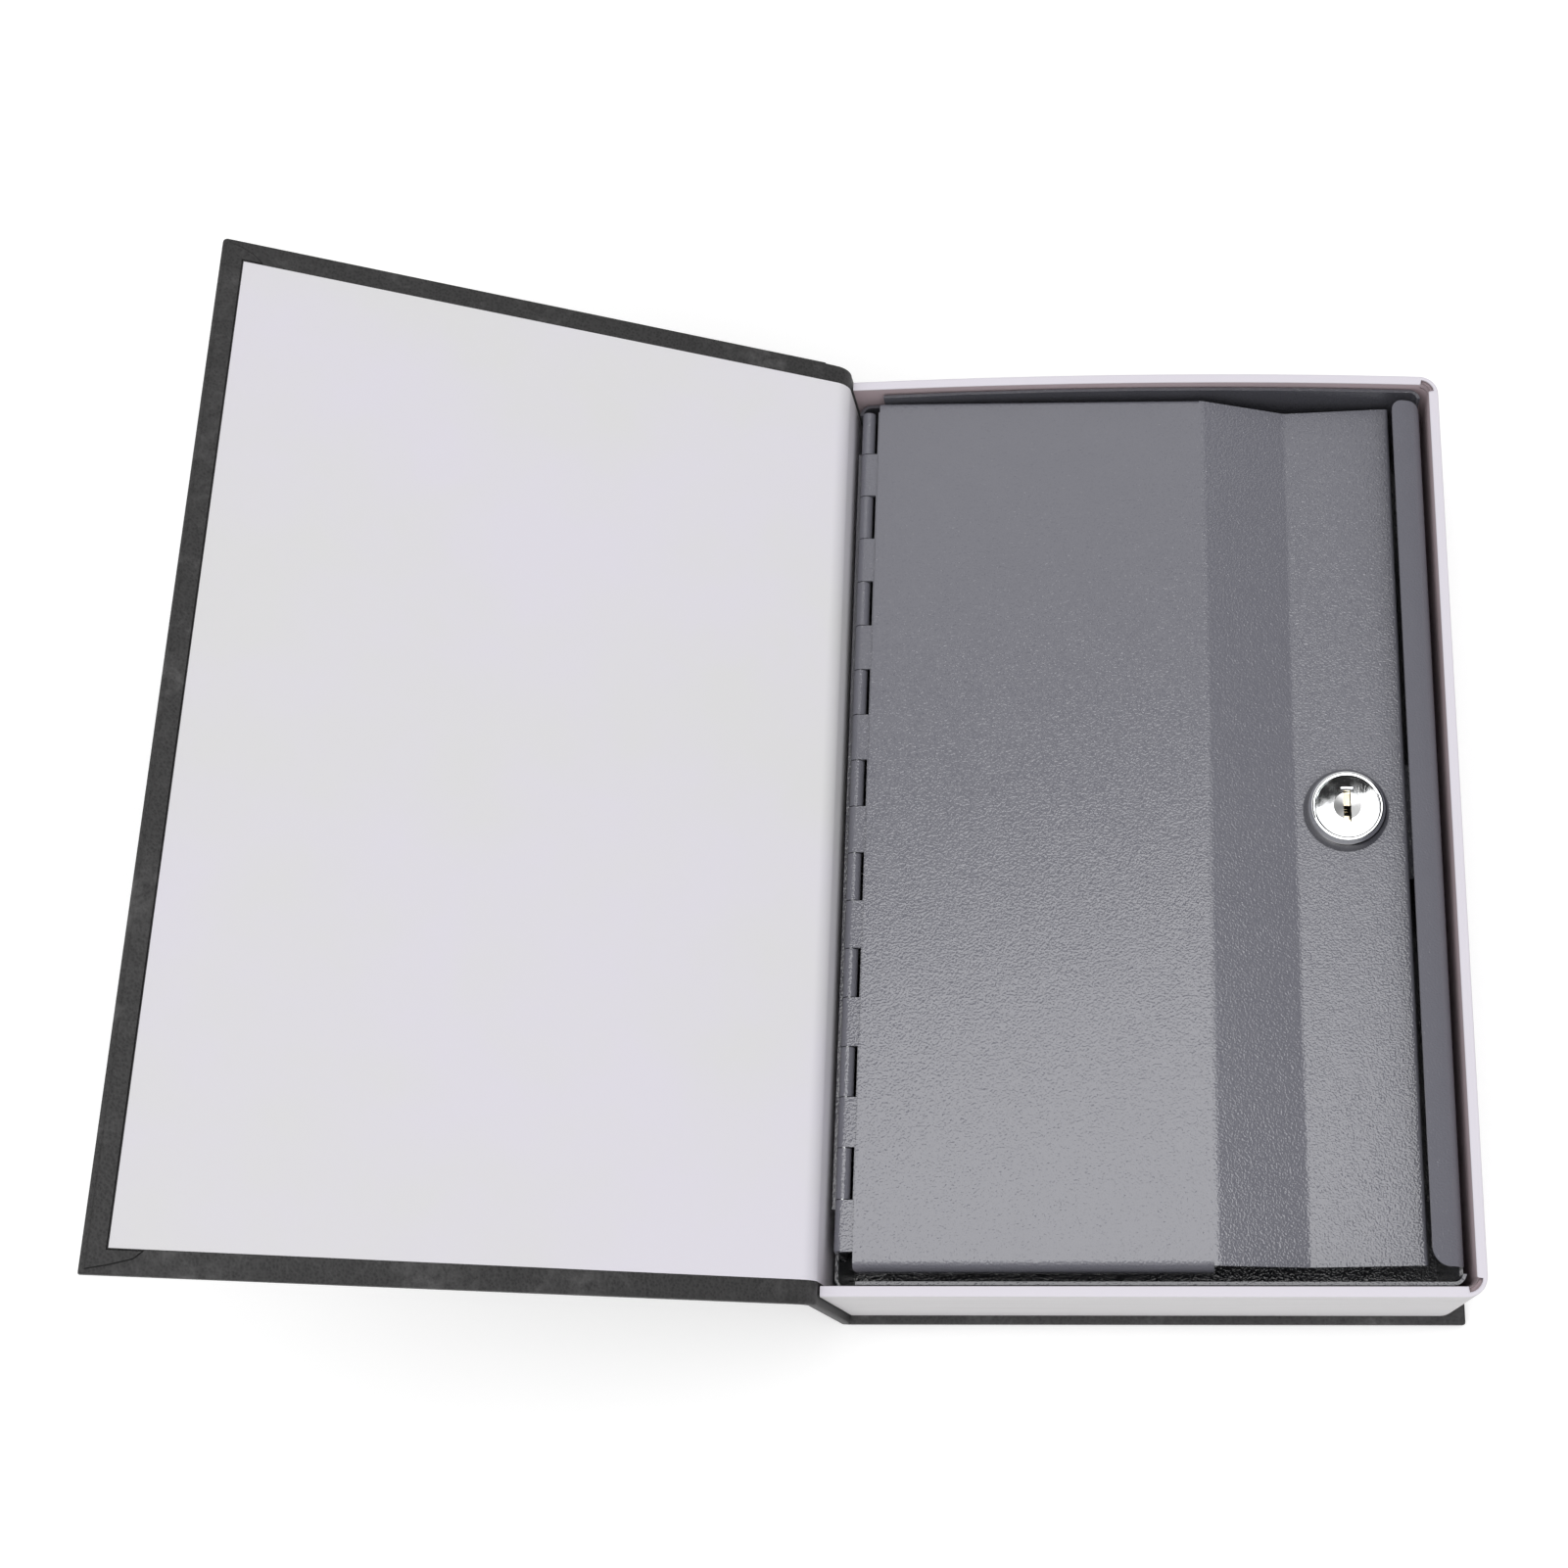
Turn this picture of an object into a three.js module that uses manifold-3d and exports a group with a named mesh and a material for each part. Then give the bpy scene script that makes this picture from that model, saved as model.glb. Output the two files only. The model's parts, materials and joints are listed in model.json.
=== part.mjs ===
// A safe disguised as a book: a cloth case of greyboard, a card frame that stands in for the pages,
// and a steel cash box with a hinged, keyed lid inside it. The front cover stands open.
//
// Millimetres. +X runs from the spine to the fore edge, +Y from the tail to the head, +Z is up.
// The origin lies on the underside of the back cover, below the middle of the book.

import * as THREE from 'three';
import { mergeVertices } from 'three/addons/utils/BufferGeometryUtils.js';
import Module from 'manifold-3d';

const wasm = await Module();
wasm.setup();

// Case: boards, the covering glued round them, and the paper inside the front cover
const bookLength = 240;
const bookWidth = 153.9;
const foreEdgeX = 77.5;
const boardThickness = 2.2;
const spineBoardThickness = 1.6;
const wrapThickness = 0.25;
const glueLine = 0.05;
const turnInWidth = 15;
const boardCornerRadius = 1.2;
const endpaperThickness = 0.15;
const endpaperForeMargin = 5.1;
const endpaperEndMargin = 5.4;
const spineLeanDegrees = 1.8;
const spineAbovePages = 0.3;
const footFoldRadius = 2;
const backJointWidth = 3;

// Front cover: where it turns, and how far it stands open
const coverOpenDegrees = 154.6;
const closedCoverGap = 0.34;
const pivotAboveInnerFace = 2.16;
const pivotFromSpineFoot = 2.1;
const jointWidth = 7;
const jointClothThickness = 0.5;
const jointEndGap = 0.3;
const liningBendRadius = 5;
const liningDepth = 30;

// Card frame printed as page edges: an outer wall, a rim and an inner wall, hollow between
const endOverhang = 2.1;
const foreOverhang = 1.4;
const pageHeight = 49.4;
const rimWidth = 2.5;
const cardThickness = 0.6;
const pageCornerRadius = 5;
const headBow = 1.5;
const frameSpineGap = 0.5;
const frameEndReach = 4;
const cornerNotchSize = 3.2;
const cornerTabDrop = 1.3;

// Steel box
const sheet = 0.8;
const boxEndGap = 0.4;
const boxForeGap = 2;
const boxSpineGap = 0.1;
const boxBelowRim = 2.2;
const boxCornerRadius = 3;
const lipWidth = 7.6;
const lipBendRadius = 3.2;
const lipRise = 2;
const lipDrop = 1;
const lipTailInset = 3.6;
const lipHeadInset = 1.9;
const lipTailRadius = 4.4;
const lipHeadRadius = 3.2;
const foreNotchDepth = 6;
const spineWallDrop = 5.5;
const spineNotchDepth = 15;
const spineNotchWidth = 6.7;
const spineNotchTailLength = 18;
const spineNotchHeadLength = 14.5;

// Adhesive sheet that holds the steel box down, inside the frame of turned-in edges
const adhesiveMargin = 1;

// Strike that the cam turns under, welded inside the fore wall
const strikeThickness = 1.2;
const strikeReach = 6.3;
const strikeLength = 30;
const strikeLegHeight = 11.5;
const strikeBendRadius = 1.2;
const weldGap = 0.05;

// Piano hinge
const hingeHeadInset = 2.6;
const hingeTailInset = 7.1;
const knuckleCount = 18;
const knuckleGap = 0.25;
const barrelRadius = 1.75;
const pinRadius = 0.95;
const pinClearance = 0.05;
const pinEndInset = 0.3;
const knuckleSlot = 0.8;
const boxLeafDepth = 20;
const lidLeafWidth = 16;

// Lid: a high plate over the hinge side, a slope, and a sunk shelf for the lock
const lidInset = 2;
const lidHingeOverlap = 3;
const lidForeClearance = 0.2;
const lidTailGap = 2.5;
const lidHeadGap = 0.25;
const tailBendRadius = 3;
const headBendRadius = 1.2;
const endFlangeDepth = 6;
const plateCornerRadius = 1;
const shelfDrop = 4.5;
const shelfWidth = 27.6;
const slopeWidth = 21.5;
const shelfEnds = { tailFoot: -110.35, tailFore: -109.85, headFoot: 111.7, headFore: 112.8 };
const slopeHeadInset = 0.45;
const foldRadius = 7;
const foreFlangeDepth = 3;
const foreBendRadius = 0.95;
const endBendStop = 1;

// Cam lock
const lockFromLidEdge = 15.15;
const lockY = 1.4;
const bezelRadius = 10.65;
const bezelTopRadius = 8.6;
const bezelHeight = 4.4;
const bezelFoot = 0.4;
const bezelEdge = 0.35;
const housingRadius = 8;
const housingFlat = 7;
const housingLength = 10;
const housingClearance = 0.15;
const headRadius = 7.7;
const headThickness = 1.25;
const headSink = 0.1;
const headClearance = 0.2;
const dishRadius = 3.45;
const dishDepth = 0.7;
const plugRadius = 5.93;
const plugClearance = 0.07;
const plugStickOut = 0.8;
const tailHalfWidth = 2.95;
const tailLength = 1.8;
const keywayHalfWidth = 0.95;
const keywayLow = -4.2;
const keywayHigh = 4.1;
const keywayDepth = 10.7;
const keywayShoulder = { halfWidth: 1.5, low: 3.4, high: 4.8, depth: 0.6 };
const nutAcrossFlats = 20;
const nutThickness = 3;
const nutGap = 0.05;

// Wafers that the key lifts clear of the housing, and the springs behind them
const waferCount = 5;
const waferPitch = 1.8;
const waferThickness = 1;
const waferHalfWidth = 2.5;
const waferInset = 0.06;
const waferTail = -4.9;
const waferClearance = 0.08;
const waferTravel = 0.6;
const waferWindowHalfWidth = 1.3;
const waferWindowHeight = 3.6;
const waferCuts = [-3.1, -1.6, -2.6, -2.1, -3];
const waferEarReach = 1.5;
const waferEarLow = -1.2;
const waferEarHigh = -0.4;
const springSeat = -3.9;
const springWire = 0.26;
const springRadius = 0.4;
const springTurns = 4;
const springGap = 0.06;

// Cam, its washer and its screw
const camThickness = 1.8;
const camGap = 0.2;
const camHubRadius = 7;
const camTipGap = 1.65;
const camTipHalfWidth = 4.5;
const camHoleClearance = 0.1;
const strikeAboveCam = 0.6;
const washerRadius = 4.5;
const washerThickness = 0.8;
const screwRadius = 1.6;
const screwLength = 7;
const screwHeadRadius = 3.6;
const screwHeadHeight = 2.4;
const screwHoleClearance = 0.1;
const crossHalfWidth = 0.5;
const crossHalfLength = 2;
const crossDepth = 1.4;

// How finely round things are cut
const faceSegments = 96;
const roundSegments = 48;
const smallSegments = 24;
const bendSteps = 6;
const margin = 5;

// Levels and places that follow from the sizes above
const coverSlab = boardThickness + 2 * (wrapThickness + glueLine);
const spineSlab = spineBoardThickness + 2 * (wrapThickness + glueLine);
const halfLength = bookLength / 2;
const spineFootX = foreEdgeX - bookWidth;
const lean = THREE.MathUtils.degToRad(spineLeanDegrees);
const coverAngle = THREE.MathUtils.degToRad(coverOpenDegrees);
const pageTop = coverSlab + pageHeight;
const spineHeight = pageTop + spineAbovePages;
const frameForeX = foreEdgeX - foreOverhang;
const frameEndY = halfLength - endOverhang;
const frameSpineX = spineFootX + frameSpineGap;
const boxForeX = frameForeX - rimWidth - boxForeGap;
const boxEndY = frameEndY - rimWidth - boxEndGap;
const boxSpineX = spineFootX + boxSpineGap;
const boxFloor = coverSlab;
const boxTop = pageTop - boxBelowRim;
const innerForeX = boxForeX - sheet;
const innerEndY = boxEndY - sheet;
const spineWallTop = boxTop - spineWallDrop;
const lipInnerX = boxForeX - lipWidth;
const pinX = boxSpineX + sheet + weldGap + barrelRadius;
const plateTop = boxTop - lidInset;
const pinZ = plateTop - sheet - barrelRadius;
const boreRadius = pinRadius + pinClearance;
const hingeHeadY = innerEndY - hingeHeadInset;
const hingeTailY = -innerEndY + hingeTailInset;
const knucklePitch = (hingeHeadY - hingeTailY) / knuckleCount;
const lidSpineX = pinX + lidHingeOverlap;
const lidForeX = lipInnerX - lidForeClearance;
const shelfFoldX = lidForeX - shelfWidth;
const plateFoldX = shelfFoldX - slopeWidth;
const lidTailY = -innerEndY + lidTailGap;
const lidHeadY = innerEndY - lidHeadGap;
const flatTailY = lidTailY + tailBendRadius;
const flatHeadY = lidHeadY - headBendRadius;
const lipBendZ = boxTop - lipDrop - sheet / 2 - lipRise / 3;
const shelfTop = plateTop - shelfDrop;
const shelfUnder = shelfTop - sheet;
const lockX = lidForeX - lockFromLidEdge;
const faceTop = shelfTop + bezelHeight;
const headTop = faceTop - headSink;
const headUnder = headTop - headThickness;
const housingEnd = shelfTop - housingLength;
const plugEnd = housingEnd - plugStickOut;
const tailEnd = plugEnd - tailLength;
const camTop = plugEnd - camGap;
const camUnder = camTop - camThickness;
const camReach = innerForeX - weldGap - strikeThickness - camTipGap - lockX;
const washerTop = camUnder - weldGap;
const washerUnder = washerTop - washerThickness;
const screwHeadTop = washerUnder - weldGap;
const strikeUnder = camTop + strikeAboveCam;
const pivotX = spineFootX - pivotFromSpineFoot;
const pivotZ = pageTop + closedCoverGap + pivotAboveInnerFace;

// Solids, joins and cuts

function solidOf(geometry) {
  const bare = geometry.index ? geometry.toNonIndexed() : geometry.clone();
  bare.deleteAttribute('normal');
  bare.deleteAttribute('uv');
  const merged = mergeVertices(bare);
  const mesh = new wasm.Mesh({
    numProp: 3,
    vertProperties: new Float32Array(merged.attributes.position.array),
    triVerts: new Uint32Array(merged.index.array),
  });
  return new wasm.Manifold(mesh);
}

function geometryOf(solid) {
  const mesh = solid.getMesh();
  const geometry = new THREE.BufferGeometry();
  geometry.setAttribute('position', new THREE.BufferAttribute(mesh.vertProperties, 3));
  geometry.setIndex(new THREE.BufferAttribute(mesh.triVerts, 1));
  geometry.computeVertexNormals();
  return geometry;
}

function join(solids) {
  return solids.reduce((whole, solid) => whole.add(solid));
}

function cut(solid, cutters) {
  return cutters.reduce((rest, cutter) => rest.subtract(cutter), solid);
}

function block(x0, x1, y0, y1, z0, z1) {
  const geometry = new THREE.BoxGeometry(x1 - x0, y1 - y0, z1 - z0);
  geometry.translate((x0 + x1) / 2, (y0 + y1) / 2, (z0 + z1) / 2);
  return solidOf(geometry);
}

function extrude(shape, depth) {
  return new THREE.ExtrudeGeometry(shape, {
    depth,
    bevelEnabled: false,
    curveSegments: bendSteps,
  });
}

// A shape drawn in X and Y, raised from z0 to z1
function extrudeUp(shape, z0, z1) {
  const geometry = extrude(shape, z1 - z0);
  geometry.translate(0, 0, z0);
  return solidOf(geometry);
}

// A shape drawn in X and Z, drawn out from y0 to y1
function extrudeAlongY(shape, y0, y1) {
  const geometry = extrude(shape, y1 - y0);
  geometry.rotateX(Math.PI / 2);
  geometry.translate(0, y1, 0);
  return solidOf(geometry);
}

// A shape drawn in Y and Z, drawn out from x0 to x1
function extrudeAlongX(shape, x0, x1) {
  const geometry = extrude(shape, x1 - x0);
  const turn = new THREE.Matrix4().makeBasis(
    new THREE.Vector3(0, 1, 0),
    new THREE.Vector3(0, 0, 1),
    new THREE.Vector3(1, 0, 0),
  );
  geometry.applyMatrix4(turn);
  geometry.translate(x0, 0, 0);
  return solidOf(geometry);
}

function rodUp(radius, x, y, z0, z1, segments) {
  const geometry = new THREE.CylinderGeometry(radius, radius, z1 - z0, segments);
  geometry.rotateX(Math.PI / 2);
  geometry.translate(x, y, (z0 + z1) / 2);
  return solidOf(geometry);
}

function rodAlongY(radius, x, z, y0, y1, segments) {
  const geometry = new THREE.CylinderGeometry(radius, radius, y1 - y0, segments);
  geometry.translate(x, (y0 + y1) / 2, z);
  return solidOf(geometry);
}

// A profile of [radius, height] pairs turned about the upright axis at x, y
function turned(profile, x, y, segments) {
  const points = profile.map(([radius, height]) => new THREE.Vector2(radius, height));
  const geometry = new THREE.LatheGeometry(points, segments);
  geometry.rotateX(Math.PI / 2);
  geometry.translate(x, y, 0);
  return solidOf(geometry);
}

function polygon(points) {
  return new THREE.Shape(points.map(([a, b]) => new THREE.Vector2(a, b)));
}

// A strip of even thickness that follows a path of straight runs joined by round bends.
// The path is the strip's middle line, and each inner corner has its own middle radius.
function strip(corners, radii, thickness) {
  const points = corners.map(([a, b]) => new THREE.Vector2(a, b));
  const line = [];
  const directionTo = (from, to) => to.clone().sub(from).normalize();
  const put = (point, direction) => {
    line.push({ point, side: new THREE.Vector2(-direction.y, direction.x) });
  };
  put(points[0], directionTo(points[0], points[1]));
  for (let i = 1; i < points.length - 1; i += 1) {
    const before = directionTo(points[i - 1], points[i]);
    const after = directionTo(points[i], points[i + 1]);
    const turn = Math.atan2(before.cross(after), before.dot(after));
    const radius = radii[i - 1];
    const start = points[i].clone().addScaledVector(before, -radius * Math.tan(Math.abs(turn) / 2));
    const toCentre = new THREE.Vector2(-before.y, before.x).multiplyScalar(Math.sign(turn) * radius);
    const centre = start.clone().add(toCentre);
    for (let step = 0; step <= bendSteps; step += 1) {
      const angle = (turn * step) / bendSteps;
      const point = start.clone().rotateAround(centre, angle);
      put(point, before.clone().rotateAround(new THREE.Vector2(), angle));
    }
  }
  const last = points.length - 1;
  put(points[last], directionTo(points[last - 1], points[last]));
  const half = thickness / 2;
  const left = line.map(({ point, side }) => point.clone().addScaledVector(side, half));
  const right = line.map(({ point, side }) => point.clone().addScaledVector(side, -half));
  return new THREE.Shape([...right, ...left.reverse()]);
}

// A plan outline with a corner radius of its own at each end, whose head side bows outwards
function bowedOutline(x0, x1, y0, y1, spineRadius, foreRadius, bow) {
  const outline = new THREE.Shape();
  outline.moveTo(x0 + spineRadius, y0);
  outline.lineTo(x1 - foreRadius, y0);
  outline.absarc(x1 - foreRadius, y0 + foreRadius, foreRadius, -Math.PI / 2, 0);
  outline.absarc(x1 - foreRadius, y1 - foreRadius, foreRadius, 0, Math.PI / 2);
  outline.quadraticCurveTo((x0 + x1) / 2, y1 + 2 * bow, x0 + spineRadius, y1);
  if (spineRadius > 0) {
    outline.absarc(x0 + spineRadius, y1 - spineRadius, spineRadius, Math.PI / 2, Math.PI);
    outline.absarc(x0 + spineRadius, y0 + spineRadius, spineRadius, Math.PI, 1.5 * Math.PI);
  } else {
    outline.lineTo(x0, y0);
  }
  return outline;
}

// A plan rectangle whose corners have the radii given for spine tail, fore tail, fore head, spine head
function roundedPlate(x0, x1, y0, y1, radii) {
  const [spineTail, foreTail, foreHead, spineHead] = radii;
  const outline = new THREE.Shape();
  const corner = (x, y, radius, from) => {
    if (radius > 0) {
      outline.absarc(x, y, radius, from, from + Math.PI / 2);
    } else {
      outline.lineTo(x, y);
    }
  };
  outline.moveTo(x0 + spineTail, y0);
  corner(x1 - foreTail, y0 + foreTail, foreTail, -Math.PI / 2);
  corner(x1 - foreHead, y1 - foreHead, foreHead, 0);
  corner(x0 + spineHead, y1 - spineHead, spineHead, Math.PI / 2);
  if (spineTail > 0) {
    corner(x0 + spineTail, y0 + spineTail, spineTail, Math.PI);
  }
  return outline;
}

// Named parts

const book = new THREE.Group();
const frontCover = new THREE.Group();
frontCover.position.set(pivotX, 0, pivotZ);
frontCover.rotation.y = -coverAngle;
book.add(frontCover);

const finishes = {
  cloth: { color: 0x3e3f40, roughness: 0.75, metalness: 0 },
  board: { color: 0x8d8578, roughness: 0.95, metalness: 0 },
  endpaper: { color: 0xdedce3, roughness: 0.6, metalness: 0 },
  adhesive: { color: 0xd8d2c0, roughness: 0.9, metalness: 0 },
  pageCard: { color: 0xe4e1ea, roughness: 0.7, metalness: 0 },
  paintedSteel: { color: 0x7c7d87, roughness: 0.35, metalness: 0.1 },
  steel: { color: 0xb4b6b8, roughness: 0.35, metalness: 1 },
  chrome: { color: 0xe6e8ea, roughness: 0.1, metalness: 1 },
  brass: { color: 0xb79a5a, roughness: 0.35, metalness: 1 },
};

function addPart(parent, name, geometry, finish) {
  const mesh = new THREE.Mesh(geometry, new THREE.MeshStandardMaterial(finishes[finish]));
  mesh.name = name;
  parent.add(mesh);
}

// Case

// Where the spine's inner face stands at a height, since it leans out from its foot
function spineInnerX(z) {
  return spineFootX - (z - coverSlab) * Math.tan(lean);
}

function spineOuterX(z) {
  return spineInnerX(z) - spineSlab;
}

function backBoardSolid() {
  const skin = wrapThickness + glueLine;
  const outline = roundedPlate(
    spineFootX + backJointWidth,
    foreEdgeX - skin,
    -halfLength + skin,
    halfLength - skin,
    [0, boardCornerRadius, boardCornerRadius, 0],
  );
  return extrudeUp(outline, skin, skin + boardThickness);
}

function spineBoardOutline(grow) {
  const skin = wrapThickness + glueLine - grow;
  const low = coverSlab + glueLine - grow;
  const high = spineHeight - skin;
  return polygon([
    [spineInnerX(low) - skin, low],
    [spineInnerX(high) - skin, high],
    [spineOuterX(high) + skin, high],
    [spineOuterX(low) + skin, low],
  ]);
}

function spineBoardSolid() {
  const end = halfLength - wrapThickness - glueLine;
  return extrudeAlongY(spineBoardOutline(0), -end, end);
}

// One sheet of covering for the spine and the back cover: an L of full thickness, hollowed for
// its two boards, and opened inside each board to leave only the turned-in edges
function caseWrapSolid() {
  const section = new THREE.Shape();
  section.moveTo(foreEdgeX, 0);
  section.lineTo(foreEdgeX, coverSlab);
  section.lineTo(spineInnerX(coverSlab), coverSlab);
  section.lineTo(spineInnerX(spineHeight), spineHeight);
  section.lineTo(spineOuterX(spineHeight), spineHeight);
  section.lineTo(spineOuterX(footFoldRadius), footFoldRadius);
  section.quadraticCurveTo(spineOuterX(0), 0, spineOuterX(0) + footFoldRadius, 0);
  const slab = extrudeAlongY(section, -halfLength, halfLength);
  const corners = extrudeUp(
    roundedPlate(
      spineOuterX(spineHeight) - margin,
      foreEdgeX,
      -halfLength,
      halfLength,
      [0, boardCornerRadius, boardCornerRadius, 0],
    ),
    -margin,
    spineHeight + margin,
  );
  const hollowEnd = halfLength - wrapThickness;
  const backHollow = block(
    spineFootX + backJointWidth - glueLine,
    foreEdgeX - wrapThickness,
    -hollowEnd,
    hollowEnd,
    wrapThickness,
    coverSlab - wrapThickness,
  );
  const backWindow = block(
    spineFootX + backJointWidth + glueLine,
    foreEdgeX - turnInWidth,
    -halfLength + turnInWidth,
    halfLength - turnInWidth,
    coverSlab - margin / 2,
    coverSlab + margin,
  );
  const windowFloor = block(
    spineFootX - margin,
    foreEdgeX + margin,
    -halfLength - margin,
    halfLength + margin,
    -margin,
    wrapThickness,
  );
  const spineHollow = extrudeAlongY(spineBoardOutline(glueLine), -hollowEnd, hollowEnd);
  const spineWindow = extrudeAlongY(
    polygon([
      [spineInnerX(coverSlab) + margin, coverSlab + glueLine],
      [spineInnerX(coverSlab) + margin, spineHeight - turnInWidth],
      [spineInnerX(spineHeight - turnInWidth) - spineSlab / 2, spineHeight - turnInWidth],
      [spineInnerX(coverSlab) - spineSlab / 2, coverSlab + glueLine],
    ]),
    -halfLength + turnInWidth,
    halfLength - turnInWidth,
  );
  return cut(slab.intersect(corners), [
    backHollow,
    backWindow.subtract(windowFloor),
    spineHollow,
    spineWindow,
  ]);
}

function adhesiveSolid() {
  return block(
    spineFootX + backJointWidth + adhesiveMargin,
    foreEdgeX - turnInWidth - adhesiveMargin,
    -halfLength + turnInWidth + adhesiveMargin,
    halfLength - turnInWidth - adhesiveMargin,
    coverSlab - wrapThickness,
    coverSlab,
  );
}

// A point of the front cover in the open book, from its place in the closed one. Heights are
// measured from the pivot, and lengths run towards the fore edge.
function openPoint(along, up) {
  const point = new THREE.Vector2(along, up).rotateAround(new THREE.Vector2(), coverAngle);
  return [pivotX + point.x, pivotZ + point.y];
}

// The cloth of the front joint, from the top of the spine to the edge of the front board
function jointClothSolid() {
  const top = spineHeight + jointEndGap;
  const start = [(spineInnerX(top) + spineOuterX(top)) / 2, top];
  const slabMiddle = -pivotAboveInnerFace + coverSlab / 2;
  const end = openPoint(jointWidth - jointEndGap, slabMiddle);
  const bend = [start[0], openPoint(0, slabMiddle)[1]];
  const section = strip([start, bend, end], [jointWidth / 3], jointClothThickness);
  return extrudeAlongY(section, -halfLength, halfLength);
}

// The paper over the joint, from the edge of the front board down the inside of the spine
function jointLiningSolid() {
  const offset = glueLine + endpaperThickness / 2;
  const paperUp = -pivotAboveInnerFace - offset;
  const start = openPoint(jointWidth - jointEndGap, paperUp);
  const low = spineHeight - liningDepth;
  const spineLine = (z) => spineInnerX(z) + offset;
  const along = [Math.cos(coverAngle), Math.sin(coverAngle)];
  const slope = along[1] / along[0];
  const spineSlope = -Math.tan(lean);
  const cornerZ = (start[1] + slope * (spineLine(0) - start[0])) / (1 - slope * spineSlope);
  const corner = [spineLine(cornerZ), cornerZ];
  const section = strip(
    [start, corner, [spineLine(low), low]],
    [liningBendRadius],
    endpaperThickness,
  );
  const end = halfLength - endpaperEndMargin;
  return extrudeAlongY(section, -end, end);
}

// Front cover, drawn closed about its pivot

const coverSpineX = jointWidth;
const coverForeX = foreEdgeX - pivotX;
const coverUnder = -pivotAboveInnerFace;
const coverOver = coverUnder + coverSlab;

function frontBoardSolid() {
  const skin = wrapThickness + glueLine;
  const outline = roundedPlate(
    coverSpineX + glueLine,
    coverForeX - skin,
    -halfLength + skin,
    halfLength - skin,
    [0, boardCornerRadius, boardCornerRadius, 0],
  );
  return extrudeUp(outline, coverUnder + skin, coverOver - skin);
}

function frontWrapSolid() {
  const outline = roundedPlate(
    coverSpineX,
    coverForeX,
    -halfLength,
    halfLength,
    [0, boardCornerRadius, boardCornerRadius, 0],
  );
  const slab = extrudeUp(outline, coverUnder, coverOver);
  const hollow = block(
    coverSpineX - margin,
    coverForeX - wrapThickness,
    -halfLength + wrapThickness,
    halfLength - wrapThickness,
    coverUnder + wrapThickness,
    coverOver - wrapThickness,
  );
  const window = block(
    coverSpineX - margin,
    coverForeX - turnInWidth,
    -halfLength + turnInWidth,
    halfLength - turnInWidth,
    coverUnder - margin,
    coverUnder + coverSlab / 2,
  );
  return cut(slab, [hollow, window]);
}

function endpaperSolid() {
  return block(
    coverSpineX,
    coverForeX - endpaperForeMargin,
    -halfLength + endpaperEndMargin,
    halfLength - endpaperEndMargin,
    coverUnder - glueLine - endpaperThickness,
    coverUnder - glueLine,
  );
}

// Page frame, whose open ends lean with the spine

function pageFrameSolid() {
  const wall = (inset) => bowedOutline(
    frameSpineX - frameEndReach,
    frameForeX - inset,
    -frameEndY + inset,
    frameEndY - inset,
    0,
    Math.max(pageCornerRadius - inset, 1),
    headBow,
  );
  const outer = extrudeUp(wall(0), coverSlab, pageTop);
  const inner = extrudeUp(wall(rimWidth), coverSlab - margin, pageTop + margin);
  const hollowOuter = extrudeUp(wall(cardThickness), coverSlab - margin, pageTop - cardThickness);
  const hollowCore = extrudeUp(
    wall(rimWidth - cardThickness),
    coverSlab - 2 * margin,
    pageTop + margin,
  );
  const endLean = (pageTop - coverSlab) * Math.tan(lean);
  const spineEnd = extrudeAlongY(
    polygon([
      [frameSpineX - frameEndReach - margin, coverSlab - margin],
      [frameSpineX, coverSlab - margin],
      [frameSpineX, coverSlab],
      [frameSpineX - endLean, pageTop],
      [frameSpineX - endLean, pageTop + margin],
      [frameSpineX - frameEndReach - margin, pageTop + margin],
    ]),
    -halfLength - margin,
    halfLength + margin,
  );
  const cornerBlock = (side, outset, z0, z1) => {
    const outerY = side * (frameEndY - cardThickness + outset);
    const innerY = side * (frameEndY - cornerNotchSize - cardThickness);
    return block(
      frameForeX - cardThickness - cornerNotchSize,
      frameForeX - cardThickness + outset,
      Math.min(outerY, innerY),
      Math.max(outerY, innerY),
      z0,
      z1,
    );
  };
  const tabTop = pageTop - cornerTabDrop;
  const tabs = [-1, 1].map((side) => (
    cornerBlock(side, cardThickness, tabTop - cardThickness, tabTop).intersect(outer).subtract(inner)
  ));
  const notches = [-1, 1].map((side) => cornerBlock(side, 0, tabTop, pageTop + margin));
  const walls = cut(outer, [inner, hollowOuter.subtract(hollowCore), spineEnd]);
  return cut(join([walls, ...tabs]), notches);
}

// Steel box

function boxOutline(inset) {
  return bowedOutline(
    boxSpineX + inset,
    boxForeX - inset,
    -boxEndY + inset,
    boxEndY - inset,
    boxCornerRadius - inset,
    boxCornerRadius - inset,
    headBow,
  );
}

// The lip is bent a little less than square, so its free edge stands higher than its bend
function lipSolid() {
  const middle = sheet / 2;
  const section = strip(
    [
      [boxForeX - middle, boxTop - foreNotchDepth],
      [boxForeX - middle, lipBendZ],
      [lipInnerX, lipBendZ + lipRise],
    ],
    [lipBendRadius - middle],
    sheet,
  );
  const tail = -innerEndY + lipTailInset;
  const head = innerEndY - lipHeadInset;
  const plan = extrudeUp(
    roundedPlate(lipInnerX, boxForeX, tail, head, [lipTailRadius, 0, lipHeadRadius, lipHeadRadius]),
    boxTop - foreNotchDepth - margin,
    boxTop + lipRise + margin,
  );
  return extrudeAlongY(section, tail, head).intersect(plan);
}

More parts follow.
